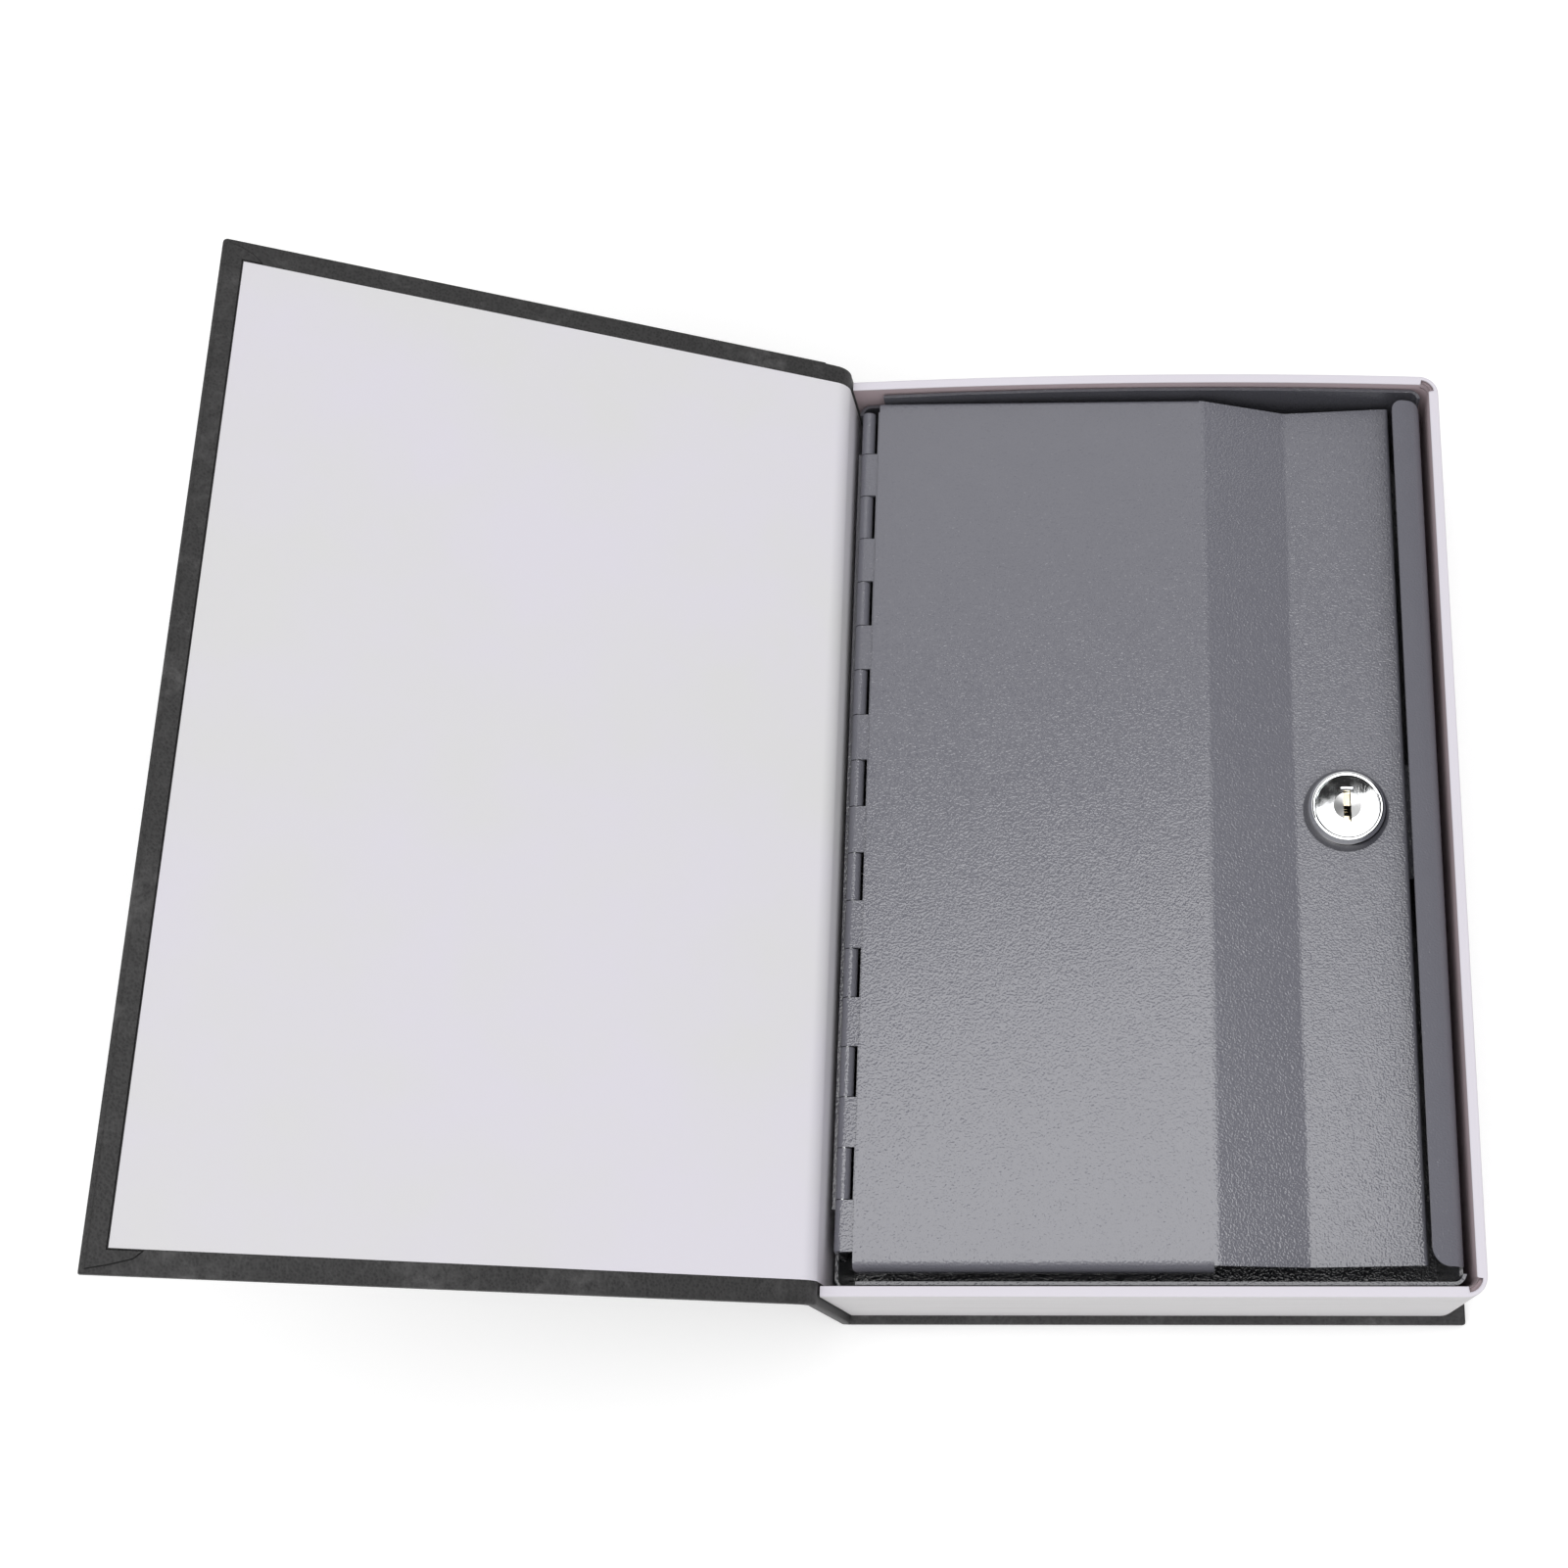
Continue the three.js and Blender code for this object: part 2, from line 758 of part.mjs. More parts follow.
function steelBoxSolid() {
  const shell = extrudeUp(boxOutline(0), boxFloor, boxTop)
    .subtract(extrudeUp(boxOutline(sheet), boxFloor + sheet, boxTop + margin));
  const straightEnd = boxEndY - boxCornerRadius + sheet / 2;
  const foreNotch = block(
    innerForeX - sheet / 2,
    boxForeX + margin,
    -straightEnd,
    straightEnd,
    boxTop - foreNotchDepth,
    boxTop + margin,
  );
  const tailCut = -boxEndY + spineNotchTailLength;
  const headCut = boxEndY - spineNotchHeadLength;
  const spineWallCut = block(
    boxSpineX - margin,
    boxSpineX + boxCornerRadius,
    tailCut - margin,
    headCut + margin,
    spineWallTop,
    boxTop + margin,
  );
  const cornerCut = (width, y0, y1, depth) => block(
    boxSpineX - margin,
    boxSpineX + width,
    y0,
    y1,
    boxTop - depth,
    boxTop + margin,
  );
  const walls = cut(shell, [
    foreNotch,
    spineWallCut,
    cornerCut(spineNotchWidth, -boxEndY - margin, tailCut, spineNotchDepth),
    cornerCut(spineNotchWidth, headCut, boxEndY + boxCornerRadius, spineWallDrop),
    cornerCut(boxCornerRadius, headCut, boxEndY - boxCornerRadius, spineNotchDepth),
  ]);
  return walls.add(lipSolid());
}

function strikeSolid() {
  const middle = strikeThickness / 2;
  const legX = innerForeX - weldGap - middle;
  const section = strip(
    [
      [legX, strikeUnder + strikeLegHeight],
      [legX, strikeUnder + middle],
      [innerForeX - strikeReach, strikeUnder + middle],
    ],
    [strikeBendRadius + middle],
    strikeThickness,
  );
  return extrudeAlongY(section, lockY - strikeLength / 2, lockY + strikeLength / 2);
}

// Piano hinge

// Box knuckles are the even ones counted from the head, and lid knuckles the odd ones
function knuckleSpan(index) {
  const high = hingeHeadY - index * knucklePitch;
  return [high - knucklePitch, high];
}

function knuckles(parity) {
  const barrels = [];
  for (let index = parity; index < knuckleCount; index += 2) {
    const [low, high] = knuckleSpan(index);
    const half = knuckleGap / 2;
    barrels.push(rodAlongY(barrelRadius, pinX, pinZ, low + half, high - half, smallSegments));
  }
  return barrels;
}

function knuckleCuts(parity, x0, x1, z0, z1) {
  const cuts = [];
  for (let index = parity; index < knuckleCount; index += 2) {
    const [low, high] = knuckleSpan(index);
    const half = knuckleGap / 2;
    cuts.push(block(x0, x1, low - half, high + half, z0, z1));
  }
  return cuts;
}

function hingeBore() {
  return rodAlongY(boreRadius, pinX, pinZ, hingeTailY - margin, hingeHeadY + margin, smallSegments);
}

function boxLeafSolid() {
  const leaf = block(
    pinX - barrelRadius,
    pinX - barrelRadius + sheet,
    hingeTailY,
    hingeHeadY,
    pinZ - boxLeafDepth,
    pinZ,
  );
  const notches = knuckleCuts(
    1,
    pinX - barrelRadius - margin,
    pinX + barrelRadius + margin,
    pinZ - barrelRadius - knuckleGap,
    pinZ + margin,
  );
  return cut(join([cut(leaf, notches), ...knuckles(0)]), [hingeBore()]);
}

function lidLeafSolid() {
  const leaf = block(
    pinX,
    pinX + lidLeafWidth,
    Math.max(hingeTailY, flatTailY),
    Math.min(hingeHeadY, flatHeadY),
    pinZ + barrelRadius - sheet,
    pinZ + barrelRadius,
  );
  const notches = knuckleCuts(
    0,
    pinX - barrelRadius - margin,
    pinX + barrelRadius + knuckleSlot,
    pinZ - barrelRadius - margin,
    pinZ + barrelRadius + margin,
  );
  return cut(join([cut(leaf, notches), ...knuckles(1)]), [hingeBore()]);
}

function hingePinSolid() {
  return rodAlongY(
    pinRadius,
    pinX,
    pinZ,
    hingeTailY + pinEndInset,
    hingeHeadY - pinEndInset,
    smallSegments,
  );
}

// Lid

function lidPlateSolid() {
  const middle = sheet / 2;
  const section = strip(
    [
      [lidSpineX, plateTop - middle],
      [plateFoldX, plateTop - middle],
      [shelfFoldX, shelfTop - middle],
      [lidForeX - middle, shelfTop - middle],
      [lidForeX - middle, shelfTop - foreFlangeDepth],
    ],
    [foldRadius, foldRadius, foreBendRadius - middle],
    sheet,
  );
  const bendStopX = plateFoldX - endBendStop;
  const foldedPlan = extrudeUp(
    polygon([
      [lidSpineX - margin, flatTailY],
      [bendStopX, flatTailY],
      [bendStopX, shelfEnds.tailFoot],
      [shelfFoldX, shelfEnds.tailFoot],
      [lidForeX, shelfEnds.tailFore],
      [lidForeX, shelfEnds.headFore],
      [shelfFoldX, shelfEnds.headFoot],
      [bendStopX, lidHeadY - slopeHeadInset],
      [bendStopX, flatHeadY],
      [lidSpineX - margin, flatHeadY],
    ]),
    shelfTop - foreFlangeDepth - margin,
    plateTop + margin,
  );
  const folded = extrudeAlongY(section, lidTailY, lidHeadY).intersect(foldedPlan);
  const across = strip(
    [
      [lidTailY + middle, plateTop - endFlangeDepth],
      [lidTailY + middle, plateTop - middle],
      [lidHeadY - middle, plateTop - middle],
      [lidHeadY - middle, plateTop - endFlangeDepth],
    ],
    [tailBendRadius - middle, headBendRadius - middle],
    sheet,
  );
  const plan = extrudeUp(
    roundedPlate(
      lidSpineX,
      bendStopX,
      lidTailY,
      lidHeadY,
      [plateCornerRadius, 0, 0, plateCornerRadius],
    ),
    plateTop - endFlangeDepth - margin,
    plateTop + margin,
  );
  const highPlate = extrudeAlongX(across, lidSpineX, bendStopX).intersect(plan);
  const hole = doubleFlatRod(
    housingRadius + housingClearance,
    housingFlat + housingClearance,
    shelfUnder - margin,
    shelfTop + margin,
  );
  return folded.add(highPlate).subtract(hole);
}

// Lock

// A round rod on the lock's axis with two flats that keep it from turning
function doubleFlatRod(radius, flat, z0, z1) {
  const rod = rodUp(radius, lockX, lockY, z0, z1, roundSegments);
  const between = block(
    lockX - flat,
    lockX + flat,
    lockY - radius - margin,
    lockY + radius + margin,
    z0 - margin,
    z1 + margin,
  );
  return rod.intersect(between);
}

function housingSolid() {
  const recessRadius = headRadius + headClearance;
  const recessFloor = headUnder - headClearance;
  const topEdge = [];
  for (let step = 0; step <= bendSteps; step += 1) {
    const angle = (Math.PI / 2) * (step / bendSteps);
    topEdge.push([
      bezelTopRadius + bezelEdge * Math.cos(angle),
      faceTop - bezelEdge + bezelEdge * Math.sin(angle),
    ]);
  }
  const bezel = turned(
    [
      [0, shelfTop],
      [bezelRadius, shelfTop],
      [bezelRadius, shelfTop + bezelFoot],
      ...topEdge,
      [0, faceTop],
    ],
    lockX,
    lockY,
    faceSegments,
  );
  const barrel = doubleFlatRod(housingRadius, housingFlat, housingEnd, shelfTop + bezelFoot);
  const recess = rodUp(recessRadius, lockX, lockY, recessFloor, faceTop + margin, faceSegments);
  const bore = rodUp(
    plugRadius + plugClearance,
    lockX,
    lockY,
    housingEnd - margin,
    faceTop + margin,
    roundSegments,
  );
  const groove = block(
    lockX - waferHalfWidth - 3 * waferClearance,
    lockX + waferHalfWidth + 3 * waferClearance,
    lockY,
    lockY + plugRadius + waferTravel + 2 * waferClearance,
    waferLevel(waferCount - 1) - waferThickness,
    recessFloor + margin,
  );
  return cut(join([bezel, barrel]), [recess, bore, groove]);
}

function nutSolid() {
  const hexagon = new THREE.Shape();
  for (let corner = 0; corner < 6; corner += 1) {
    const angle = (corner * Math.PI) / 3;
    const reach = nutAcrossFlats / 2 / Math.cos(Math.PI / 6);
    const x = lockX + reach * Math.cos(angle);
    const y = lockY + reach * Math.sin(angle);
    if (corner === 0) {
      hexagon.moveTo(x, y);
    } else {
      hexagon.lineTo(x, y);
    }
  }
  const top = shelfUnder - nutGap;
  const bore = rodUp(
    housingRadius + housingClearance,
    lockX,
    lockY,
    top - nutThickness - margin,
    top + margin,
    roundSegments,
  );
  return extrudeUp(hexagon, top - nutThickness, top).subtract(bore);
}

// The middle height of a wafer, counted down from the key's side
function waferLevel(index) {
  return headUnder - waferPitch * (index + 0.6);
}

function plugSolid() {
  const barrel = rodUp(plugRadius, lockX, lockY, plugEnd, headUnder + margin / 10, roundSegments);
  const head = turned(
    [
      [0, headUnder],
      [headRadius, headUnder],
      [headRadius, headTop],
      [dishRadius, headTop],
      [0, headTop - dishDepth],
    ],
    lockX,
    lockY,
    faceSegments,
  );
  const tail = block(
    lockX - tailHalfWidth,
    lockX + tailHalfWidth,
    lockY - tailHalfWidth,
    lockY + tailHalfWidth,
    tailEnd,
    plugEnd + margin / 2,
  );
  const keyway = block(
    lockX - keywayHalfWidth,
    lockX + keywayHalfWidth,
    lockY + keywayLow,
    lockY + keywayHigh,
    headTop - keywayDepth,
    headTop + margin,
  );
  const shoulder = block(
    lockX - keywayShoulder.halfWidth,
    lockX + keywayShoulder.halfWidth,
    lockY + keywayShoulder.low,
    lockY + keywayShoulder.high,
    headTop - keywayShoulder.depth,
    headTop + margin,
  );
  const slots = [];
  for (let index = 0; index < waferCount; index += 1) {
    const half = waferThickness / 2 + waferClearance;
    const level = waferLevel(index);
    const side = waferHalfWidth + waferClearance;
    slots.push(block(
      lockX - side,
      lockX + side,
      lockY - plugRadius - margin,
      lockY + plugRadius + margin,
      level - half,
      level + half,
    ));
    slots.push(block(
      lockX,
      lockX + waferHalfWidth + waferEarReach + waferClearance,
      lockY + springSeat,
      lockY + waferEarHigh + waferTravel + waferClearance,
      level - half,
      level + half,
    ));
  }
  const screwHole = rodUp(
    screwRadius + screwHoleClearance,
    lockX,
    lockY,
    tailEnd - margin,
    screwHeadTop + screwLength + screwHoleClearance,
    smallSegments,
  );
  return cut(join([barrel, head, tail]), [keyway, shoulder, ...slots, screwHole]);
}

function waferSolid(index) {
  const level = waferLevel(index);
  const low = level - waferThickness / 2;
  const high = level + waferThickness / 2;
  const disc = rodUp(plugRadius - waferInset, lockX, lockY, low, high, roundSegments);
  const bar = block(
    lockX - waferHalfWidth,
    lockX + waferHalfWidth,
    lockY + waferTail,
    lockY + plugRadius,
    low - margin,
    high + margin,
  );
  const ear = block(
    lockX,
    lockX + waferHalfWidth + waferEarReach,
    lockY + waferEarLow,
    lockY + waferEarHigh,
    low,
    high,
  );
  const windowLow = lockY + waferCuts[index];
  const window = block(
    lockX - waferWindowHalfWidth,
    lockX + waferWindowHalfWidth,
    windowLow,
    windowLow + waferWindowHeight,
    low - margin,
    high + margin,
  );
  return disc.intersect(bar).add(ear).subtract(window);
}

// A small coil between the wafer's ear and the end of its slot, as one unbroken wire
function springGeometry(index) {
  const stepsPerTurn = 8;
  const sides = 5;
  const wire = springWire / 2;
  const x = lockX + waferHalfWidth + waferEarReach / 2 + waferClearance / 2;
  const z = waferLevel(index);
  const start = lockY + springSeat + springGap + wire;
  const end = lockY + waferEarLow - springGap - wire;
  const steps = springTurns * stepsPerTurn;
  const positions = [];
  const triangles = [];
  for (let step = 0; step <= steps; step += 1) {
    const angle = (2 * Math.PI * step) / stepsPerTurn;
    const y = start + ((end - start) * step) / steps;
    const outward = new THREE.Vector3(Math.cos(angle), 0, Math.sin(angle));
    for (let side = 0; side < sides; side += 1) {
      const around = (2 * Math.PI * side) / sides;
      const point = new THREE.Vector3(x, y, z);
      point.addScaledVector(outward, springRadius + wire * Math.cos(around));
      point.y += wire * Math.sin(around);
      positions.push(point.x, point.y, point.z);
    }
  }
  for (let step = 0; step < steps; step += 1) {
    for (let side = 0; side < sides; side += 1) {
      const a = step * sides + side;
      const b = step * sides + ((side + 1) % sides);
      triangles.push(a, b, a + sides, b, b + sides, a + sides);
    }
  }
  for (let side = 1; side < sides - 1; side += 1) {
    const last = steps * sides;
    triangles.push(0, side + 1, side);
    triangles.push(last, last + side, last + side + 1);
  }
  const geometry = new THREE.BufferGeometry();
  geometry.setAttribute('position', new THREE.Float32BufferAttribute(positions, 3));
  geometry.setIndex(triangles);
  return geometry;
}

function camSolid() {
  const outline = new THREE.Shape();
  outline.moveTo(lockX - camTipHalfWidth, lockY + camReach - camTipHalfWidth);
  outline.absarc(lockX, lockY, camHubRadius, Math.PI * 0.9, Math.PI * 2.1);
  outline.lineTo(lockX + camTipHalfWidth, lockY + camReach - camTipHalfWidth);
  outline.absarc(lockX, lockY + camReach - camTipHalfWidth, camTipHalfWidth, 0, Math.PI);
  const hole = tailHalfWidth + camHoleClearance;
  const square = block(
    lockX - hole,
    lockX + hole,
    lockY - hole,
    lockY + hole,
    camUnder - margin,
    camTop + margin,
  );
  return extrudeUp(outline, camUnder, camTop).subtract(square);
}

function washerSolid() {
  const disc = rodUp(washerRadius, lockX, lockY, washerUnder, washerTop, smallSegments);
  const hole = rodUp(
    screwRadius + screwHoleClearance,
    lockX,
    lockY,
    washerUnder - margin,
    washerTop + margin,
    smallSegments,
  );
  return disc.subtract(hole);
}

function screwSolid() {
  const headEnd = screwHeadTop - screwHeadHeight;
  const body = turned(
    [
      [0, headEnd],
      [screwHeadRadius * 0.7, headEnd],
      [screwHeadRadius, headEnd + screwHeadHeight / 2],
      [screwHeadRadius, screwHeadTop],
      [screwRadius, screwHeadTop],
      [screwRadius, screwHeadTop + screwLength - screwRadius / 2],
      [screwRadius / 2, screwHeadTop + screwLength],
      [0, screwHeadTop + screwLength],
    ],
    lockX,
    lockY,
    smallSegments,
  );
  const slot = (halfX, halfY) => block(
    lockX - halfX,
    lockX + halfX,
    lockY - halfY,
    lockY + halfY,
    headEnd - margin,
    headEnd + crossDepth,
  );
  return cut(body, [slot(crossHalfWidth, crossHalfLength), slot(crossHalfLength, crossHalfWidth)]);
}

// Assembly

addPart(book, 'back_board', geometryOf(backBoardSolid()), 'board');
addPart(book, 'spine_board', geometryOf(spineBoardSolid()), 'board');
addPart(book, 'case_wrap', geometryOf(caseWrapSolid()), 'cloth');
addPart(book, 'box_adhesive', geometryOf(adhesiveSolid()), 'adhesive');
addPart(book, 'front_joint_cloth', geometryOf(jointClothSolid()), 'cloth');
addPart(book, 'front_joint_lining', geometryOf(jointLiningSolid()), 'endpaper');
addPart(frontCover, 'front_board', geometryOf(frontBoardSolid()), 'board');
addPart(frontCover, 'front_cover_wrap', geometryOf(frontWrapSolid()), 'cloth');
addPart(frontCover, 'front_endpaper', geometryOf(endpaperSolid()), 'endpaper');
addPart(book, 'page_frame', geometryOf(pageFrameSolid()), 'pageCard');
addPart(book, 'steel_box', geometryOf(steelBoxSolid()), 'paintedSteel');
addPart(book, 'strike_bracket', geometryOf(strikeSolid()), 'paintedSteel');
addPart(book, 'box_hinge_leaf', geometryOf(boxLeafSolid()), 'paintedSteel');
addPart(book, 'hinge_pin', geometryOf(hingePinSolid()), 'steel');
addPart(book, 'lid_hinge_leaf', geometryOf(lidLeafSolid()), 'paintedSteel');
addPart(book, 'lid_plate', geometryOf(lidPlateSolid()), 'paintedSteel');
addPart(book, 'lock_housing', geometryOf(housingSolid()), 'chrome');
addPart(book, 'lock_nut', geometryOf(nutSolid()), 'steel');
addPart(book, 'lock_plug', geometryOf(plugSolid()), 'chrome');
for (let index = 0; index < waferCount; index += 1) {
  addPart(book, `wafer_${index + 1}`, geometryOf(waferSolid(index)), 'brass');
  addPart(book, `wafer_spring_${index + 1}`, springGeometry(index), 'steel');
}
addPart(book, 'lock_cam', geometryOf(camSolid()), 'steel');
addPart(book, 'cam_washer', geometryOf(washerSolid()), 'steel');
addPart(book, 'cam_screw', geometryOf(screwSolid()), 'steel');

export default book;
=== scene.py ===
import json
from math import radians, cos, sin, tan

import bmesh
import bpy
from mathutils import Matrix, Vector
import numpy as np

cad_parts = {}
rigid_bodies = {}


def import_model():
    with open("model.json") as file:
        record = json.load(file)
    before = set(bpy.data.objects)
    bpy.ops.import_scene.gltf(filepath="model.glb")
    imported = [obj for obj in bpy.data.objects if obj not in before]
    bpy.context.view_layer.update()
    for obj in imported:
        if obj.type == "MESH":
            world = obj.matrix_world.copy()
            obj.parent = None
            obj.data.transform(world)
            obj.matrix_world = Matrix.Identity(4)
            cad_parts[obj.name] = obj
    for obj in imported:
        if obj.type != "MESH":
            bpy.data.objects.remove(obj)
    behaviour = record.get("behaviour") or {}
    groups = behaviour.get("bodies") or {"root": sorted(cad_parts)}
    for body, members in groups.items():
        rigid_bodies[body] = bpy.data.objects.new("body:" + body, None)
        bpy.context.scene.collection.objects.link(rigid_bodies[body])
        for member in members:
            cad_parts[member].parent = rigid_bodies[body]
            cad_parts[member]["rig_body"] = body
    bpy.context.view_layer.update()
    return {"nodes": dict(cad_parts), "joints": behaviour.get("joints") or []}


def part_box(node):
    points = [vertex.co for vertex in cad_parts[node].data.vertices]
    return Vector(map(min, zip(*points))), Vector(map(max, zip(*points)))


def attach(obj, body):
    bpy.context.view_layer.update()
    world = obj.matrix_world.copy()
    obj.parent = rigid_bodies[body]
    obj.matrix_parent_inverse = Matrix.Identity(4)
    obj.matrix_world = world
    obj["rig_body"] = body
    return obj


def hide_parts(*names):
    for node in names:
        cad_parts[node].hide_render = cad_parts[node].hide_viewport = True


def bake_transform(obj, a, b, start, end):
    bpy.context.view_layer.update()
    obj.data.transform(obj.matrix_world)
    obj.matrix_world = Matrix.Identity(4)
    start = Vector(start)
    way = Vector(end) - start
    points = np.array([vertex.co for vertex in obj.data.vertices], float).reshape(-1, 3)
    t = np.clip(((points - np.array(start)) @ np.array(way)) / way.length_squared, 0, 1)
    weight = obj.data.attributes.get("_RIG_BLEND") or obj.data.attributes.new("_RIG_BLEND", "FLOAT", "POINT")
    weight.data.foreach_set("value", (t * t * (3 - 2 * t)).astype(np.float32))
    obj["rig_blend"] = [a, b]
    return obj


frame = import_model()
nodes = frame["nodes"]
scene = bpy.context.scene
print("frame loaded:", len(nodes), "nodes")

mm = 0.001
tiny = 0.001 * mm  # points closer than this are one point
near = 0.01 * mm  # how close a point counts as on an edge


# ---- small helpers for nodes

def newMaterial(name):
    material = bpy.data.materials.new(name)
    material.use_nodes = True
    tree = material.node_tree
    shader = tree.nodes["Principled BSDF"]
    return material, tree, shader


# a value for a socket is either another node's output or a constant
def feed(tree, socket, value):
    if hasattr(value, "links"):
        tree.links.new(value, socket)
    else:
        socket.default_value = value


def mixColour(tree, factor, first, second):
    node = tree.nodes.new("ShaderNodeMix")
    node.data_type = "RGBA"
    for socket, value in ((0, factor), (6, first), (7, second)):
        feed(tree, node.inputs[socket], value)
    return node.outputs[2]


def mathNode(tree, operation, *values, clamp=False):
    node = tree.nodes.new("ShaderNodeMath")
    node.operation = operation
    node.use_clamp = clamp
    for socket, value in zip(node.inputs, values):
        feed(tree, socket, value)
    return node.outputs[0]


def spread(tree, value, fromLow, fromHigh, toLow=0.0, toHigh=1.0):
    node = tree.nodes.new("ShaderNodeMapRange")
    tree.links.new(value, node.inputs["Value"])
    node.inputs["From Min"].default_value = fromLow
    node.inputs["From Max"].default_value = fromHigh
    node.inputs["To Min"].default_value = toLow
    node.inputs["To Max"].default_value = toHigh
    return node.outputs["Result"]


def noise(tree, vector, scale, detail=2.0, roughness=0.5, distortion=0.0):
    node = tree.nodes.new("ShaderNodeTexNoise")
    tree.links.new(vector, node.inputs["Vector"])
    node.inputs["Scale"].default_value = scale
    node.inputs["Detail"].default_value = detail
    node.inputs["Roughness"].default_value = roughness
    node.inputs["Distortion"].default_value = distortion
    return node.outputs["Fac"]


def cells(tree, vector, scale, smoothness):
    node = tree.nodes.new("ShaderNodeTexVoronoi")
    node.feature = "SMOOTH_F1"
    tree.links.new(vector, node.inputs["Vector"])
    node.inputs["Scale"].default_value = scale
    node.inputs["Smoothness"].default_value = smoothness
    return node.outputs["Distance"]


def objectPlace(tree):
    return tree.nodes.new("ShaderNodeTexCoord").outputs["Object"]


def bumpFrom(tree, height, distance, under=None):
    node = tree.nodes.new("ShaderNodeBump")
    node.inputs["Strength"].default_value = 1.0
    node.inputs["Distance"].default_value = distance
    tree.links.new(height, node.inputs["Height"])
    if under is not None:
        tree.links.new(under, node.inputs["Normal"])
    return node.outputs["Normal"]


def newGroup(name, inputs, outputs):
    group = bpy.data.node_groups.new(name, "ShaderNodeTree")
    for label, kind, value in inputs:
        socket = group.interface.new_socket(label, in_out="INPUT", socket_type=kind)
        if value is not None:
            socket.default_value = value
    for label, kind in outputs:
        group.interface.new_socket(label, in_out="OUTPUT", socket_type=kind)
    entry = group.nodes.new("NodeGroupInput")
    leave = group.nodes.new("NodeGroupOutput")
    return group, entry, leave


# a colour made darker by a factor below 1
def dimmed(colour, shade):
    return tuple(shade * part for part in colour[:3]) + (1,)


# 1 where a camera, glossy or transmission ray arrives, for a backdrop that shows white
def seenDirectly(tree):
    path = tree.nodes.new("ShaderNodeLightPath")
    seen = mathNode(tree, "ADD", path.outputs["Is Camera Ray"], path.outputs["Is Glossy Ray"], clamp=True)
    return mathNode(tree, "ADD", seen, path.outputs["Is Transmission Ray"], clamp=True)


def useGroup(tree, group, **values):
    node = tree.nodes.new("ShaderNodeGroup")
    node.node_tree = group
    for key, value in values.items():
        feed(tree, node.inputs[key], value)
    return node


# gives a material's shader its colour, roughness and surface
def fillShader(tree, shader, colour, roughness, normal, specular=0.5):
    feed(tree, shader.inputs["Base Color"], colour)
    feed(tree, shader.inputs["Roughness"], roughness)
    feed(tree, shader.inputs["Normal"], normal)
    shader.inputs["Specular IOR Level"].default_value = specular


# ---- effects that several finishes share

# noises are given as scale, detail, roughness and distortion, and cells as scale and smoothness,
# and a range is what part of a noise goes from none to all
peelGrain = {
    "worms": (2300, 0.0, 0.4, 0.4),
    "lumps": (1600, 0.8),
    "waves": (140, 1.0, 0.4),
    "shares": (0.75, 0.5, 0.15),  # of the worms, the lumps and the waves in the height
    "mottleRange": (0.3, 0.7),
}


def makeOrangePeel():
    # the lumpy skin of powder paint: short wormy bumps over broader waves
    group, entry, leave = newGroup(
        "orangePeel",
        [("Place", "NodeSocketVector", None)],
        [("Height", "NodeSocketFloat"), ("Mottle", "NodeSocketFloat")],
    )
    place = entry.outputs["Place"]
    worms = noise(group, place, *peelGrain["worms"])
    lumps = cells(group, place, *peelGrain["lumps"])
    waves = noise(group, place, *peelGrain["waves"])
    wormShare, lumpShare, waveShare = peelGrain["shares"]
    fine = mathNode(group, "MULTIPLY_ADD", worms, wormShare, mathNode(group, "MULTIPLY", lumps, lumpShare))
    height = mathNode(group, "MULTIPLY_ADD", waves, waveShare, fine)
    group.links.new(height, leave.inputs["Height"])
    group.links.new(spread(group, waves, *peelGrain["mottleRange"]), leave.inputs["Mottle"])
    return group


clothGrain = {
    "pebbles": (1500, 0.6),
    "creases": (900, 4.0, 0.6, 0.8),
    "sags": (70, 2.0, 0.5),
    "shares": (0.7, 0.6, 0.5),  # of the pebbles, the creases and the sags in the height
    "poreRange": (0.15, 0.6),
    "patches": (55, 6.0, 0.68, 0.4),
    "patchRange": (0.48, 0.70),
    "streaks": (420, 3.0, 0.6),
    "streakRange": (0.35, 0.68),
}


def makeLeatherGrain():
    # pebbled grain with fine creases, and rubbed smudges that come up lighter
    group, entry, leave = newGroup(
        "leatherGrain",
        [("Place", "NodeSocketVector", None)],
        [("Height", "NodeSocketFloat"), ("Smudge", "NodeSocketFloat"), ("Pore", "NodeSocketFloat")],
    )
    place = entry.outputs["Place"]
    pebbles = cells(group, place, *clothGrain["pebbles"])
    creases = noise(group, place, *clothGrain["creases"])
    sags = noise(group, place, *clothGrain["sags"])
    pebbleShare, creaseShare, sagShare = clothGrain["shares"]
    creased = mathNode(group, "MULTIPLY", creases, creaseShare)
    fine = mathNode(group, "MULTIPLY_ADD", pebbles, pebbleShare, creased)
    height = mathNode(group, "MULTIPLY_ADD", sags, sagShare, fine)
    patches = noise(group, place, *clothGrain["patches"])
    streaks = noise(group, place, *clothGrain["streaks"])
    rubbed = spread(group, patches, *clothGrain["patchRange"])
    streaked = spread(group, streaks, *clothGrain["streakRange"])
    smudge = mathNode(group, "MULTIPLY", rubbed, streaked)
    group.links.new(height, leave.inputs["Height"])
    group.links.new(smudge, leave.inputs["Smudge"])
    group.links.new(spread(group, pebbles, *clothGrain["poreRange"]), leave.inputs["Pore"])
    return group


sheetGrain = {
    "fibres": (1800, 4.0, 0.7, 1.2),
    "cockle": (26, 1.0, 0.4),
    "cockleShare": 2.5,
    "clouds": (14, 4.0, 0.6),
    "cloudRange": (0.38, 0.62),
}


